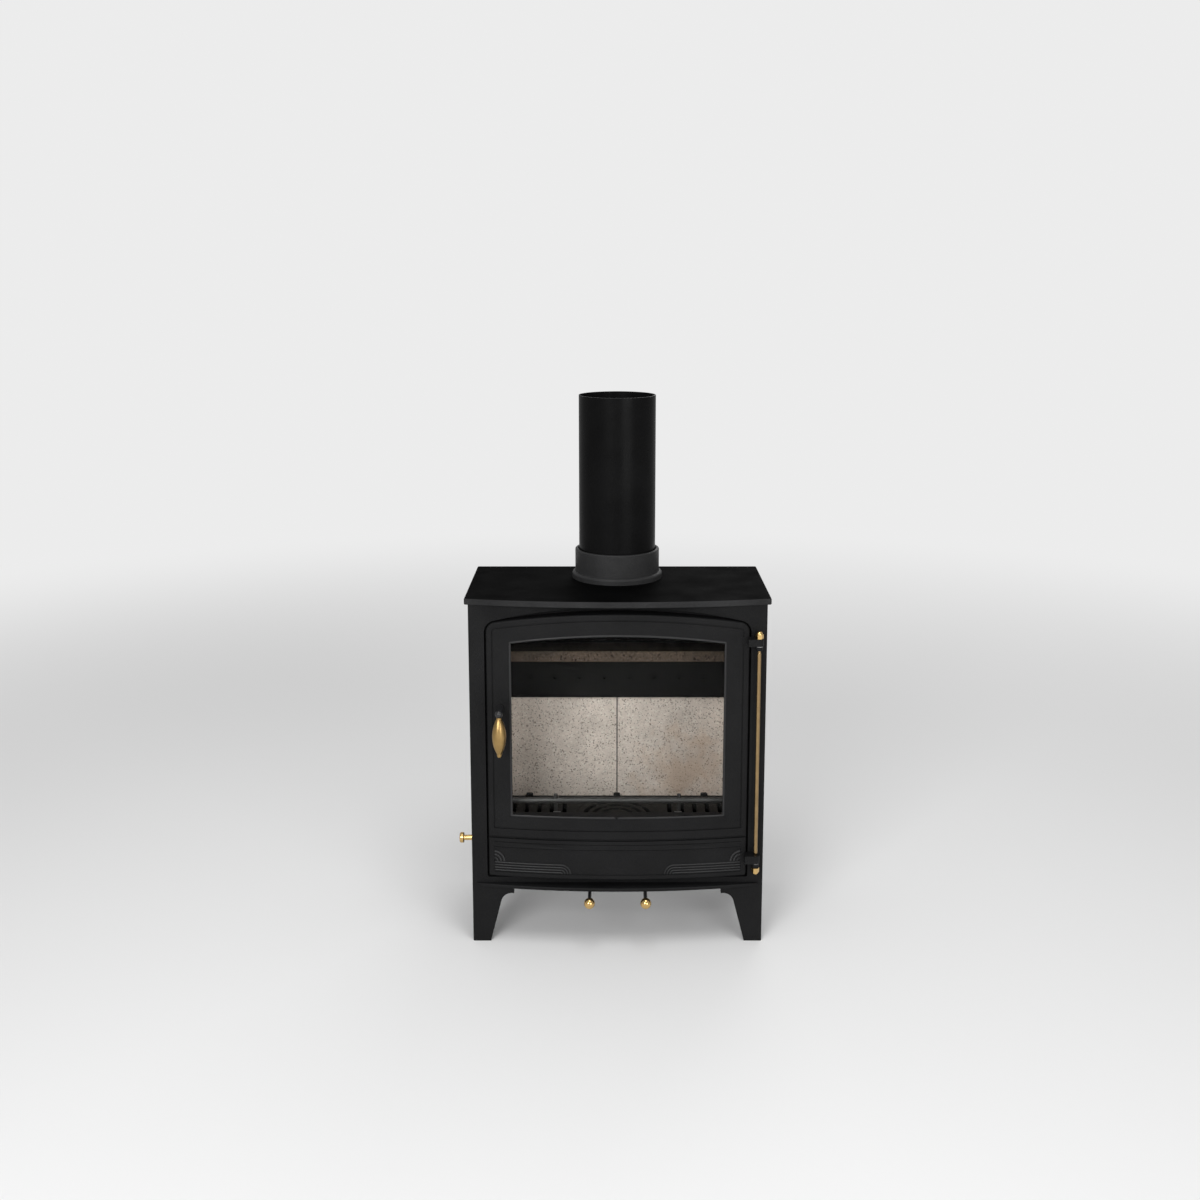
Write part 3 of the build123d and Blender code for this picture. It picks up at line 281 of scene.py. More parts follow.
def painted_shade_at_jets(material, middle, gloss):
    """Paints shade about jets in a row at one height, at odd half pitches either side of a middle."""
    tree = material.node_tree
    shader = tree.nodes["Principled BSDF"]
    painted = shader.inputs["Base Color"].links[0].from_socket
    spot = add_node(tree, "ShaderNodeSeparateXYZ", feeds=[("Vector", place_in_part(tree))])
    across = spot.outputs["X"]
    steps = [("SUBTRACT", middle), ("DIVIDE", jet_pitch), ("FRACT", 0.0), ("SUBTRACT", 0.5)]
    for operation, amount in [*steps, ("MULTIPLY", jet_pitch)]:
        feeds = [(0, across), (1, amount)]
        across = add_node(tree, "ShaderNodeMath", feeds=feeds, operation=operation).outputs[0]
    feeds = [(0, spot.outputs["Z"]), (1, jet_height)]
    above = add_node(tree, "ShaderNodeMath", feeds=feeds, operation="SUBTRACT").outputs[0]
    off = add_node(tree, "ShaderNodeCombineXYZ", feeds=[("X", across), ("Z", above)])
    reach = add_node(tree, "ShaderNodeVectorMath", feeds=[(0, off.outputs[0])], operation="LENGTH")

    def fading(share, full):
        return add_node(
            tree,
            "ShaderNodeMapRange",
            feeds=[
                ("Value", reach.outputs["Value"]),
                ("From Min", jet_radius),
                ("From Max", jet_painted_shade_radius),
                ("To Min", share),
                ("To Max", full),
            ],
        ).outputs["Result"]

    tree.links.new(shaded(tree, painted, fading(jet_painted_shade_share, 1.0)), shader.inputs["Base Color"])
    tree.links.new(fading(0.0, gloss), shader.inputs["Specular IOR Level"])
    return material


air_box_paint = stove_paint(
    "air_box_black", air_box_colour, sheet_roughness, sheet_grain, sheet_grain_depth
)
air_box_middle = (air_box_low.x + air_box_high.x) / 2
dress(painted_shade_at_jets(air_box_paint, air_box_middle, air_box_gloss), "air_box")

# Fire bed and riddling disc: bare grey iron castings that rest loose on the bearers.
# Heat has blackened them and fine ash lies in the pits of the casting.
grate_colour = (0.022, 0.0215, 0.021)
grate_ash_colour = (0.05, 0.048, 0.046)
ash_patches = {"grain": 0.012, "detail": 5.0, "low": -0.5, "high": 0.55}
grate_pit = 0.0015
grate_pit_depth = 0.0004
grate_roughness = 0.8
grate_gloss = 0.25


def burnt_iron(name):
    """Heat-blackened iron, with pale ash that gathers in patches and pits."""
    material, tree, shader = blank_finish(name)
    place = place_in_part(tree)
    ash = drift(tree, place, **ash_patches)
    colour = add_node(
        tree,
        "ShaderNodeMix",
        feeds=[("Factor", ash), (6, (*grate_colour, 1)), (7, (*grate_ash_colour, 1))],
        data_type="RGBA",
        clamp_factor=True,
    )
    tree.links.new(colour.outputs[2], shader.inputs["Base Color"])
    shader.inputs["Roughness"].default_value = grate_roughness
    shader.inputs["Specular IOR Level"].default_value = grate_gloss
    rough_skin = drift(tree, place, grate_pit, 4.0, 0.0, 1.0)
    bump = add_node(
        tree,
        "ShaderNodeBump",
        feeds=[("Height", rough_skin), ("Distance", grate_pit_depth), ("Strength", grain_strength)],
    )
    tree.links.new(bump.outputs["Normal"], shader.inputs["Normal"])
    return material


dress(burnt_iron("burnt_cast_iron"), "grate_frame", "riddling_disc")

# Fire bricks: pressed vermiculite boards that stand loose on the fire bed against the casing.
# Pale mica flakes show in the grey-buff board, and fuel has stained it warmer low down on the right.
brick_colour = (0.78, 0.68, 0.61)
brick_flake_colour = (0.86, 0.79, 0.71)
brick_grit_colour = (0.29, 0.24, 0.2)
brick_stain_colour = (0.62, 0.43, 0.3)
brick_joint_half_w = 0.0015
brick_flake = 0.0022
brick_soot_colour = (0.07, 0.06, 0.052)
brick_clouds = {"grain": 0.04, "detail": 4.0, "low": 0.86, "high": 1.08}
flake_share = (0.72, 0.95)
grit_share = (0.78, 0.98)
stain_edge = {"grain": 0.03, "detail": 4.0, "low": -0.04, "high": 0.05}
stain_reach = 0.09
stain_core = 0.02
stain_depth = 0.5
joint_depth = 0.85
soot_edge = {"grain": 0.05, "detail": 3.0, "low": -0.03, "high": 0.03}
soot_depth = 0.8
brick_roughness = 0.9
brick_gloss = 0.15
flake_depth = 0.0005
crumb = 0.004
crumb_depth = 0.0008
board_strength = 0.6


def pressed_board(name, body, flake, grit, stain, soot_from, soot_to, stain_place, joint_x):
    """Vermiculite board: flakes and grit in a plain body, a warm stain about one place, soot between
    two heights, and a dark butt joint at one x."""
    material, tree, shader = blank_finish(name)
    place = place_in_part(tree)
    cells = add_node(tree, "ShaderNodeTexVoronoi", feeds=[("Vector", place), ("Scale", 1 / brick_flake)])
    tone = add_node(tree, "ShaderNodeSeparateColor", feeds=[("Color", cells.outputs["Color"])])

    def some(share_from, share_to, socket):
        return add_node(
            tree,
            "ShaderNodeMapRange",
            feeds=[("Value", socket), ("From Min", share_from), ("From Max", share_to)],
        ).outputs["Result"]

    def mixed(factor, first, second):
        feeds = [("Factor", factor)]
        for key, value in ((6, first), (7, second)):
            feeds.append((key, value if isinstance(value, bpy.types.NodeSocket) else (*value, 1)))
        return add_node(tree, "ShaderNodeMix", feeds=feeds, data_type="RGBA", clamp_factor=True).outputs[2]

    colour = mixed(some(*flake_share, tone.outputs[0]), body, flake)
    colour = mixed(some(*grit_share, tone.outputs[1]), colour, grit)
    colour = shaded(tree, colour, drift(tree, place, **brick_clouds))
    feeds = [(0, place), (1, stain_place)]
    near = add_node(tree, "ShaderNodeVectorMath", feeds=feeds, operation="DISTANCE")
    feeds = [(0, near.outputs["Value"]), (1, drift(tree, place, **stain_edge))]
    reach = add_node(tree, "ShaderNodeMath", feeds=feeds, operation="ADD")
    warm = add_node(
        tree,
        "ShaderNodeMapRange",
        feeds=[
            ("Value", reach.outputs[0]),
            ("From Min", stain_reach),
            ("From Max", stain_core),
            ("To Max", stain_depth),
        ],
    )
    colour = mixed(warm.outputs["Result"], colour, stain)
    across = add_node(tree, "ShaderNodeSeparateXYZ", feeds=[("Vector", place)])
    height = across.outputs["Z"]
    feeds = [(0, across.outputs["X"]), (1, joint_x)]
    off_joint = add_node(tree, "ShaderNodeMath", feeds=feeds, operation="SUBTRACT")
    beside = add_node(tree, "ShaderNodeMath", feeds=[(0, off_joint.outputs[0])], operation="ABSOLUTE")
    crack = add_node(
        tree,
        "ShaderNodeMapRange",
        feeds=[
            ("Value", beside.outputs[0]),
            ("From Min", brick_joint_half_w),
            ("From Max", brick_joint_half_w * 0.5),
            ("To Max", joint_depth),
        ],
    )
    colour = mixed(crack.outputs["Result"], colour, brick_soot_colour)
    feeds = [(0, height), (1, drift(tree, place, **soot_edge))]
    line = add_node(tree, "ShaderNodeMath", feeds=feeds, operation="ADD")
    black = add_node(
        tree,
        "ShaderNodeMapRange",
        feeds=[
            ("Value", line.outputs[0]),
            ("From Min", soot_from),
            ("From Max", soot_to),
            ("To Max", soot_depth),
        ],
    )
    colour = mixed(black.outputs["Result"], colour, brick_soot_colour)
    tree.links.new(colour, shader.inputs["Base Color"])
    shader.inputs["Roughness"].default_value = brick_roughness
    shader.inputs["Specular IOR Level"].default_value = brick_gloss
    flakes = add_node(
        tree,
        "ShaderNodeBump",
        feeds=[("Height", tone.outputs[2]), ("Distance", flake_depth), ("Strength", board_strength)],
    )
    crumbs = add_node(
        tree,
        "ShaderNodeBump",
        feeds=[
            ("Height", drift(tree, place, crumb, 4.0, 0.0, 1.0)),
            ("Distance", crumb_depth),
            ("Strength", board_strength),
            ("Normal", flakes.outputs["Normal"]),
        ],
    )
    tree.links.new(crumbs.outputs["Normal"], shader.inputs["Normal"])
    return material


brick_low, brick_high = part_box("right_rear_brick")
stain_centre = (brick_high.x - 0.085, brick_low.y, brick_low.z + 0.045)
brick_board = pressed_board(
    "vermiculite_brick",
    brick_colour,
    brick_flake_colour,
    brick_grit_colour,
    brick_stain_colour,
    soot_from=brick_high.z + 0.01,
    soot_to=brick_high.z + 0.1,
    stain_place=stain_centre,
    joint_x=brick_low.x,
)
dress(brick_board, "left_rear_brick", "right_rear_brick", "left_side_brick", "right_side_brick")

# Baffle: the same pressed board, laid on two sloping rests above the fire.
# Smoke has browned all of it, so that only its front edge still looks like board.
baffle_colour = (0.105, 0.078, 0.06)
baffle_flake_colour = (0.15, 0.11, 0.083)
baffle_grit_colour = (0.03, 0.023, 0.018)
baffle_low, baffle_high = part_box("baffle_plate")
baffle_board = pressed_board(
    "smoked_baffle_board",
    baffle_colour,
    baffle_flake_colour,
    baffle_grit_colour,
    baffle_colour,
    soot_from=baffle_high.z,
    soot_to=baffle_high.z + 0.05,
    stain_place=tuple(baffle_low),
    joint_x=baffle_low.x,
)
dress(baffle_board, "baffle_plate")

# Door: one bow-fronted casting with its window, border groove and reeded lower panel.
# It is filed and painted with more care than the casing, so its grain is finer.
door_roughness = 0.55
door_grain = 0.0017
door_grain_depth = 0.00038
door_gloss = 0.15
door_paint = stove_paint(
    "painted_door", casting_colour, door_roughness, door_grain, door_grain_depth, gloss=door_gloss
)
dress(door_paint, "door_casting")

# Reeds and fans: rounded beads on the lower panel, cast in one with the door, in a lighter paint that is a
# painted highlight.
# Four reeds run in from each side and turn down, and a quarter fan of three roped arcs stands above
# their outer ends.
reed_heights = (0.1415, 0.137, 0.1325, 0.128)
reed_outer_x = 0.2035
reed_turn_x = 0.093
reed_turn_z = 0.126
reed_half_w = 0.0012
reed_rise = 0.00142
fan_centre_z = 0.1435
fan_arcs = (0.0165, 0.0109, 0.0053)
fan_half_w = 0.0019
fan_rise = 0.00165
fan_dip = 0.4
fan_waist = 0.8
fan_step = math.radians(15)
bead_root = 0.0004
bow_radius = 1.25
field_depth = 0.0012
glass_box_low, glass_box_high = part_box("window_glass")
middle_x = (glass_box_low.x + glass_box_high.x) / 2
bow_front_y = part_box("door_casting")[0].y


def bead_grid(across, height, half_w, rise):
    """A bead along a path on the bowed panel. Its section is an ellipse: beside the path by half_w times
    the cosine, and out of the panel by rise times the sine, with a shallow root in the casting below."""
    run_x, run_z = np.gradient(across), np.gradient(height)
    length = np.hypot(run_x, run_z)
    side_x, side_z = -run_z / length, run_x / length
    turn = np.linspace(0, 2 * np.pi, 20, endpoint=False)
    out = np.where(np.sin(turn) > 0, np.sin(turn) * rise[:, None], np.sin(turn) * bead_root)
    beside = np.cos(turn) * half_w[:, None]
    x = across[:, None] + side_x[:, None] * beside
    z = height[:, None] + side_z[:, None] * beside
    panel_y = bow_front_y + field_depth + bow_radius - np.sqrt(bow_radius**2 - x**2)
    return np.stack([middle_x + x, panel_y - out, z], axis=-1)


def closed_beads(name, grids):
    """One mesh of many beads: each grid is wrapped round its section, and one face closes each end."""
    points, quads, ends, first = [], [], [], 0
    for grid in grids:
        rows, cols = grid.shape[:2]
        number = first + np.arange(rows * cols).reshape(rows, cols)
        here, beyond = number[:-1], number[1:]
        turned = np.roll(number, -1, axis=1)
        quad = np.stack([here, beyond, turned[1:], turned[:-1]], axis=-1)
        points.append(grid.reshape(-1, 3))
        quads += quad.reshape(-1, 4).tolist()
        ends += [number[0].tolist(), number[-1][::-1].tolist()]
        first += rows * cols
    mesh = bpy.data.meshes.new(name)
    mesh.from_pydata(np.vstack(points).tolist(), [], quads + ends)
    mesh.shade_smooth()
    facing_out(mesh)
    piece = bpy.data.objects.new(name, mesh)
    bpy.context.scene.collection.objects.link(piece)
    return piece


def facing_out(mesh):
    """Turns every face of closed shells outwards."""
    shell = bmesh.new()
    shell.from_mesh(mesh)
    bmesh.ops.recalc_face_normals(shell, faces=shell.faces)
    shell.to_mesh(mesh)
    shell.free()


def reed_path(side, height):
    """In from the panel's end at one height, then a quarter circle down towards the middle."""
    radius = height - reed_turn_z
    turn = np.linspace(np.pi / 2, 0, 14)
    straight = np.linspace(reed_outer_x, reed_turn_x, 60)[:-1]
    x = np.concatenate([straight, reed_turn_x - radius * np.cos(turn)])
    z = np.concatenate([np.full_like(straight, height), reed_turn_z + radius * np.sin(turn)])
    return side * x, z


def reed_grids():
    """The beads of all the reeds, left and right."""
    for side in (-1, 1):
        for height in reed_heights:
            x, z = reed_path(side, height)
            ones = np.ones_like(x)
            yield bead_grid(x, z, ones * reed_half_w, ones * reed_rise)


def fan_grids():
    """Quarter circles about the panel's outer corner, pinched at every step so that they look roped."""
    turn = np.linspace(0, np.pi / 2, 73)
    swell = 1 - fan_dip * (1 - np.abs(np.sin(np.pi * turn / fan_step)))
    for side in (-1, 1):
        for radius in fan_arcs:
            x = side * (reed_outer_x - radius * np.cos(turn))
            z = fan_centre_z + radius * np.sin(turn)
            yield bead_grid(x, z, fan_half_w * (fan_waist + (1 - fan_waist) * swell), fan_rise * swell)


# Lighter than the door's paint: a painted highlight along the beads.
relief_highlight_colour = (0.013, 0.013, 0.0135)
relief_roughness = 0.42
relief_grain_depth = 0.00006
relief_gloss = 0.35
relief_paint_with_highlight = stove_paint(
    "rubbed_relief_painted_highlight", relief_highlight_colour, relief_roughness, casting_grain, relief_grain_depth, gloss=relief_gloss
)


def cast_on_door(name, grids):
    """Relief of the door: beads in a lighter paint, a painted highlight, rubbed smoother by dusting, which
    swing with the door.
    """
    beads = closed_beads(name, grids)
    beads.data.materials.append(relief_paint_with_highlight)
    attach(beads, "door")


cast_on_door("panel_reeds", reed_grids())
cast_on_door("panel_fans", fan_grids())

# Rim of the window opening: the casting's front edge all round the glass, rounded by filing.
# It is a low bead in one with the door, which catches the light along the arch.
opening_half_w = 0.1725
opening_low_z = 0.226
opening_crown_z = 0.5305
opening_arch_r = 1.063
rim_half_w = 0.0016
rim_rise = 0.0009
rim_out = 0.0011


def opening_path():
    """Round the opening from the middle of its lower edge: along, up one side, over the arch and back."""
    half_w = opening_half_w + rim_out
    low_z = opening_low_z - rim_out
    radius = opening_arch_r + rim_out
    spring = math.asin(half_w / radius)
    lean = np.linspace(spring, -spring, 90)
    arch_x = radius * np.sin(lean)
    arch_z = opening_crown_z + rim_out - radius * (1 - np.cos(lean))
    step = np.linspace(0, 1, 50)[:-1]
    up = low_z + (arch_z[0] - low_z) * step
    side = np.full_like(up, half_w)
    sill = np.full_like(step, low_z)
    x = np.concatenate([half_w * step, side, arch_x, -side, half_w * (step - 1)])
    z = np.concatenate([sill, up, arch_z, arch_z[0] + low_z - up, sill])
    keep = np.append(True, np.hypot(np.diff(x), np.diff(z)) > 1e-6)
    return x[keep], z[keep]


rim_x, rim_z = opening_path()
rim_ones = np.ones_like(rim_x)
rim_grid = bead_grid(rim_x, rim_z, rim_ones * rim_half_w, rim_ones * rim_rise)
rim_grid[..., 1] -= field_depth
cast_on_door("window_rim", [rim_grid])

# Window: flat ceramic glass in a rope seal, held to the door's back by stepped clips.
# It is clear, with a faint smoky haze that thickens towards its upper edge.
haze_depth = 0.03
haze_edge = {"grain": 0.06, "detail": 4.0, "low": -0.015, "high": 0.015}
glass_clear_colour = (0.95, 0.955, 0.95)
glass_haze_colour = (0.62, 0.59, 0.55)
glass_facing_gloss = 0.0018
glass_roughness = 0.04
slant_power = 5.0


def ceramic_glass(name):
    """Clear glass whose see-through colour darkens to a smoky haze near its top. Its mirror share rises
    with the fifth power of one minus the cosine of the slant."""
    material, tree, shader = blank_finish(name)
    tree.nodes.remove(shader)
    place = place_in_part(tree)
    height = add_node(tree, "ShaderNodeSeparateXYZ", feeds=[("Vector", place)]).outputs["Z"]
    ragged = drift(tree, place, **haze_edge)
    line = add_node(tree, "ShaderNodeMath", feeds=[(0, height), (1, ragged)], operation="ADD")
    haze = add_node(
        tree,
        "ShaderNodeMapRange",
        feeds=[
            ("Value", line.outputs[0]),
            ("From Min", glass_box_high.z - haze_depth),
            ("From Max", glass_box_high.z),
        ],
    )
    colour = add_node(
        tree,
        "ShaderNodeMix",
        feeds=[
            ("Factor", haze.outputs["Result"]),
            (6, (*glass_clear_colour, 1)),
            (7, (*glass_haze_colour, 1)),
        ],
        data_type="RGBA",
    )
    clear = add_node(tree, "ShaderNodeBsdfTransparent", feeds=[("Color", colour.outputs[2])])
    feeds = [("Color", (1, 1, 1, 1)), ("Roughness", glass_roughness)]
    mirror = add_node(tree, "ShaderNodeBsdfAnisotropic", feeds=feeds)
    facing = add_node(tree, "ShaderNodeLayerWeight", feeds=[("Blend", 0.5)]).outputs["Facing"]
    fifth = add_node(tree, "ShaderNodeMath", feeds=[(0, facing), (1, slant_power)], operation="POWER")
    slant = add_node(
        tree,
        "ShaderNodeMapRange",
        feeds=[("Value", fifth.outputs[0]), ("To Min", glass_facing_gloss), ("To Max", 1.0)],
    )
    both = add_node(
        tree,
        "ShaderNodeMixShader",
        feeds=[(0, slant.outputs["Result"]), (1, clear.outputs[0]), (2, mirror.outputs[0])],
    )
    tree.links.new(both.outputs[0], tree.nodes["Material Output"].inputs["Surface"])
    return material


dress(ceramic_glass("ceramic_glass"), "window_glass")

# Rope seals: knitted glass-fibre rope, dyed black, glued in the door's groove, round the glass and
# in the collar. The knit shows as small rounded stitches, with painted highlight on their crowns and
# painted shade between them.
rope_colour = (0.03, 0.03, 0.031)
rope_roughness = 0.95
rope_gloss = 0.1
stitch = 0.0022
stitch_depth = 0.0006
stitch_strength = 0.9
stitch_crown_highlight = 1.5
stitch_gap_painted_shade = 0.4


def knitted_rope(name):
    """Black knitted rope: rows of rounded stitches as bumps, with painted highlight on their crowns and
    painted shade between them.
    """
    material, tree, shader = blank_finish(name)
    place = place_in_part(tree)
    stitches = add_node(tree, "ShaderNodeTexVoronoi", feeds=[("Vector", place), ("Scale", 1 / stitch)])
    shade = add_node(
        tree,
        "ShaderNodeMapRange",
        feeds=[
            ("Value", stitches.outputs["Distance"]),
            ("To Min", stitch_crown_highlight),
            ("To Max", stitch_gap_painted_shade),
        ],
    )
    tree.links.new(shaded(tree, rope_colour, shade.outputs["Result"]), shader.inputs["Base Color"])
    shader.inputs["Roughness"].default_value = rope_roughness
    shader.inputs["Specular IOR Level"].default_value = rope_gloss
    bump = add_node(
        tree,
        "ShaderNodeBump",
        feeds=[
            ("Height", stitches.outputs["Distance"]),
            ("Distance", stitch_depth),
            ("Strength", stitch_strength),
        ],
        invert=True,
    )
    tree.links.new(bump.outputs["Normal"], shader.inputs["Normal"])
    return material


dress(knitted_rope("knitted_rope"), "door_rope", "glass_rope", "collar_rope")

# Spindle, latch and the rods under the knobs: bright bar, forged or turned, then blackened in oil.
# It keeps a little of the steel's gloss.
rod_colour = (0.014, 0.014, 0.015)
rod_roughness = 0.4
rod_grain = 0.0009
rod_grain_depth = 0.00002
rod_gloss = 0.5
black_rod = stove_paint(
    "oil_blackened_bar", rod_colour, rod_roughness, rod_grain, rod_grain_depth, gloss=rod_gloss
)
dress(
    black_rod,
    "handle_spindle",
    "latch_tongue",
    "latch_keeper",
    "riddle_rod",
    "primary_rod",
    "secondary_rod",
)

# Guard bar: a round bar on two posts that rest in the fire bed, painted and then rubbed by the fuel.
# It is painted greyer than the castings behind it, a painted highlight for the bar in the dim firebox, and
# the rubbing leaves it shinier.
guard_highlight_colour = (0.035, 0.034, 0.033)
guard_roughness = 0.36
guard_gloss = 0.6
guard_paint_with_highlight = stove_paint(
    "rubbed_guard_bar_painted_highlight", guard_highlight_colour, guard_roughness, rod_grain, rod_grain_depth, gloss=guard_gloss
)
dress(guard_paint_with_highlight, "log_guard")

# Bolts, clips, screws, washers and the spindle's nut: bought-in zinc-plated steel.
# Heat has dulled the plating in soft patches.
zinc_colour = (0.36, 0.355, 0.35)
zinc_patches = {"grain": 0.004, "detail": 4.0, "low": 0.7, "high": 1.2}
zinc_roughness = {"grain": 0.003, "detail": 3.0, "low": 0.34, "high": 0.55}


def dulled_zinc(name):
    """Zinc plate on steel: grey metal whose shade and gloss drift in patches."""
    material, tree, shader = blank_finish(name)
    place = place_in_part(tree)
    shade = drift(tree, place, **zinc_patches)
    tree.links.new(shaded(tree, zinc_colour, shade), shader.inputs["Base Color"])
    shader.inputs["Metallic"].default_value = 1.0
    tree.links.new(drift(tree, place, **zinc_roughness), shader.inputs["Roughness"])
    return material


dress(
    dulled_zinc("dulled_zinc"),
    "leg_bolts",
    "top_plate_bolts",
    "collar_bolts",
    "blanking_plate_bolts",
    "glass_clips",
    "clip_screws",
    "spindle_nut",
    "hinge_washers",
)

# Hinge rod, its domed nuts and the three knobs: turned from brass bar and polished on the lathe.
# Very fine turning lines remain, and the lacquer has let a few dull spots in.
polished_colour = (0.7, 0.47, 0.19)
polished_roughness = (0.1, 0.16)
polished_line = 0.0012
polished_line_depth = 0.000008
tarnish = {"grain": 0.012, "detail": 5.0, "low": 0.86, "high": 1.06}
lacquer_patch = 0.007
line_strength = 0.3


def turned_brass(name, colour, roughness, line_pitch, line_depth):
    """Brass with a tarnish that drifts in patches, and fine turning lines of a given pitch."""
    material, tree, shader = blank_finish(name)
    place = place_in_part(tree)
    shade = drift(tree, place, **tarnish)
    tree.links.new(shaded(tree, colour, shade), shader.inputs["Base Color"])
    shader.inputs["Metallic"].default_value = 1.0
    tree.links.new(drift(tree, place, lacquer_patch, 5.0, *roughness), shader.inputs["Roughness"])
    rings = add_node(
        tree,
        "ShaderNodeTexWave",
        feeds=[("Vector", place), ("Scale", 1 / (line_pitch * 20)), ("Distortion", 0.4)],
        bands_direction="Z",
    )
    lines = add_node(
        tree,
        "ShaderNodeBump",
        feeds=[("Height", rings.outputs["Fac"]), ("Distance", line_depth), ("Strength", line_strength)],
    )
    tree.links.new(lines.outputs["Normal"], shader.inputs["Normal"])
    return material


polished_brass = turned_brass(
    "polished_brass", polished_colour, polished_roughness, polished_line, polished_line_depth
)
dress(polished_brass, "acorn_nuts", "riddle_knob", "primary_knob", "secondary_knob")
# The hinge rod is a darker, rougher copy of the polished brass; its darker colour is painted shade.
hinge_rod_shaded_colour = (0.33, 0.225, 0.11)
rod_brass_roughness = (0.2, 0.26)
rod_brass_line_depth = 0.000004
hinge_rod_shaded_brass = turned_brass(
    "hinge_rod_shaded_brass", hinge_rod_shaded_colour, rod_brass_roughness, polished_line, rod_brass_line_depth
)
dress(hinge_rod_shaded_brass, "hinge_rod")

# Handle grip and its end nut: turned from solid brass and satin finished, threaded on the spindle's stud.
# Hands have dulled it, so it is browner and softer than the rest of the brass.
satin_colour = (0.38, 0.25, 0.1)
satin_roughness = (0.28, 0.38)
satin_line = 0.001
satin_line_depth = 0.000015
satin_brass = turned_brass("satin_brass", satin_colour, satin_roughness, satin_line, satin_line_depth)
dress(satin_brass, "handle_grip", "grip_nut")

# Studio floor: a wide pale disc that the stove stands on, which fades into the pale backdrop far out.
# It isn't part of the stove.
floor_radius = 14.0
floor_corners = 96
floor_roughness = 0.9
floor_gloss = 0.1
floor_colour = (0.82, 0.82, 0.82, 1)
backdrop_colour = (0.84, 0.84, 0.84, 1)
fade_from = 1.2
fade_to = 3.6


def pale_floor():
    """A flat disc: a centre point and a rim at equal angles, joined as a fan."""
    turn = np.linspace(0, 2 * np.pi, floor_corners, endpoint=False)
    rim = np.column_stack([np.cos(turn), np.sin(turn), np.zeros_like(turn)]) * floor_radius
    points = np.vstack([np.zeros((1, 3)), rim])
    corner = np.arange(1, floor_corners + 1)
    fan = np.column_stack([np.zeros_like(corner), corner, np.roll(corner, -1)])
    mesh = bpy.data.meshes.new("studio_floor")
    mesh.from_pydata(points.tolist(), [], fan.tolist())
    disc = bpy.data.objects.new("studio_floor", mesh)
    bpy.context.scene.collection.objects.link(disc)
    material, tree, shader = blank_finish("studio_floor")
    shader.inputs["Base Color"].default_value = floor_colour
    shader.inputs["Roughness"].default_value = floor_roughness
    shader.inputs["Specular IOR Level"].default_value = floor_gloss
    out = add_node(tree, "ShaderNodeVectorMath", feeds=[(0, place_in_part(tree))], operation="LENGTH")
    fade = add_node(
        tree,
        "ShaderNodeMapRange",
        feeds=[("Value", out.outputs["Value"]), ("From Min", fade_from), ("From Max", fade_to)],
        interpolation_type="SMOOTHSTEP",
    )
    seen = add_node(tree, "ShaderNodeLightPath")
    share = add_node(
        tree,
        "ShaderNodeMath",
        feeds=[(0, fade.outputs["Result"]), (1, seen.outputs["Is Camera Ray"])],
        operation="MULTIPLY",
    )
    glow = add_node(tree, "ShaderNodeEmission", feeds=[("Color", backdrop_colour)])
    both = add_node(
        tree,
        "ShaderNodeMixShader",
        feeds=[(0, share.outputs[0]), (1, shader.outputs[0]), (2, glow.outputs[0])],
    )
    tree.links.new(both.outputs[0], tree.nodes["Material Output"].inputs["Surface"])
    mesh.materials.append(material)


pale_floor()

# Studio light: a pale room all round, a large soft lamp over the left shoulder of whoever faces the
# stove, weaker ones on the right and overhead, and one behind.
room_light = 0.45
room_tone = (1.0, 1.0, 1.0, 1)
aim = (0.0, 0.0, 0.4)
lamps = {
    "key_lamp": ((-1.2, -3.0, 1.7), 1.4, 56.0),
    "fill_lamp": ((1.6, -2.9, 1.1), 1.6, 31.0),
    "top_lamp": ((0.1, -0.9, 2.7), 1.2, 20.0),
    "rear_lamp": ((0.8, 2.8, 2.2), 1.6, 16.0),
}


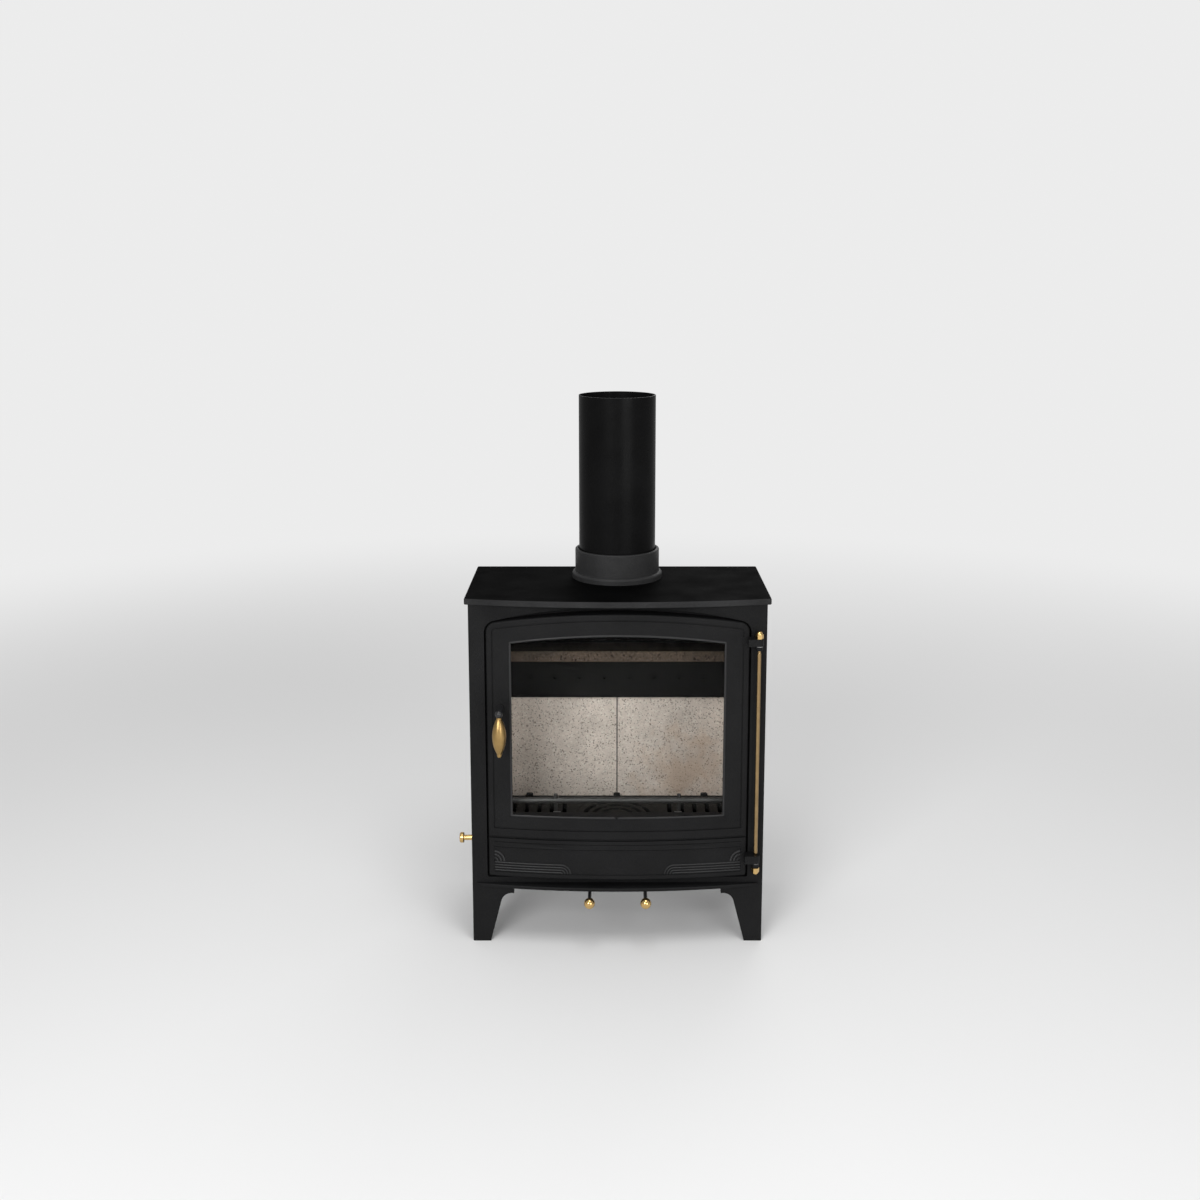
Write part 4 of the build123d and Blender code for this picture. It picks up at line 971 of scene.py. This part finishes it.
def light_room():
    """The world's light: a plain level for the surfaces, and the backdrop's tone where it is seen
    directly or through glass."""
    world = bpy.data.worlds.new("room")
    world.use_nodes = True
    bpy.context.scene.world = world
    tree = world.node_tree
    tree.nodes.clear()
    path = add_node(tree, "ShaderNodeLightPath").outputs
    feeds = [(0, path["Is Camera Ray"]), (1, path["Is Transmission Ray"])]
    seen = add_node(tree, "ShaderNodeMath", feeds=feeds, operation="MAXIMUM")
    feeds = [("Color", room_tone), ("Strength", room_light)]
    lit = add_node(tree, "ShaderNodeBackground", feeds=feeds)
    feeds = [("Color", backdrop_colour), ("Strength", 1.0)]
    backdrop = add_node(tree, "ShaderNodeBackground", feeds=feeds)
    feeds = [(0, seen.outputs[0]), (1, lit.outputs[0]), (2, backdrop.outputs[0])]
    both = add_node(tree, "ShaderNodeMixShader", feeds=feeds)
    out = add_node(tree, "ShaderNodeOutputWorld")
    tree.links.new(both.outputs[0], out.inputs["Surface"])


def hang_lamp(name, place, side, power):
    """A square soft lamp that faces the stove."""
    lamp = bpy.data.lights.new(name, "AREA")
    lamp.size = side
    lamp.energy = power
    stand = bpy.data.objects.new(name, lamp)
    stand.location = place
    away_x, away_y, away_z = [p - a for p, a in zip(place, aim)]
    tilt = math.atan2(math.hypot(away_x, away_y), away_z)
    stand.rotation_euler = (tilt, 0, math.atan2(away_x, -away_y))
    bpy.context.scene.collection.objects.link(stand)


light_room()
for lamp_name, (lamp_place, lamp_side, lamp_power) in lamps.items():
    hang_lamp(lamp_name, lamp_place, lamp_side, lamp_power)

# Camera: square to the stove's front, above it and looking slightly down, close to where the
# photograph was taken from. The shift puts the stove where the photograph has it.
camera_place = (-0.005, -2.238, 1.112)
camera_down = math.radians(9.8)
camera_lens = 41.2
camera_sensor = 36.0
camera_shift = (-0.007, -0.08)
camera_data = bpy.data.cameras.new("camera")
camera_data.lens = camera_lens
camera_data.sensor_width = camera_sensor
camera_data.shift_x, camera_data.shift_y = camera_shift
camera = bpy.data.objects.new("camera", camera_data)
camera.location = camera_place
camera.rotation_euler = (math.pi / 2 - camera_down, 0, 0)
bpy.context.scene.collection.objects.link(camera)
bpy.context.scene.camera = camera
bpy.context.scene.view_settings.view_transform = "Standard"
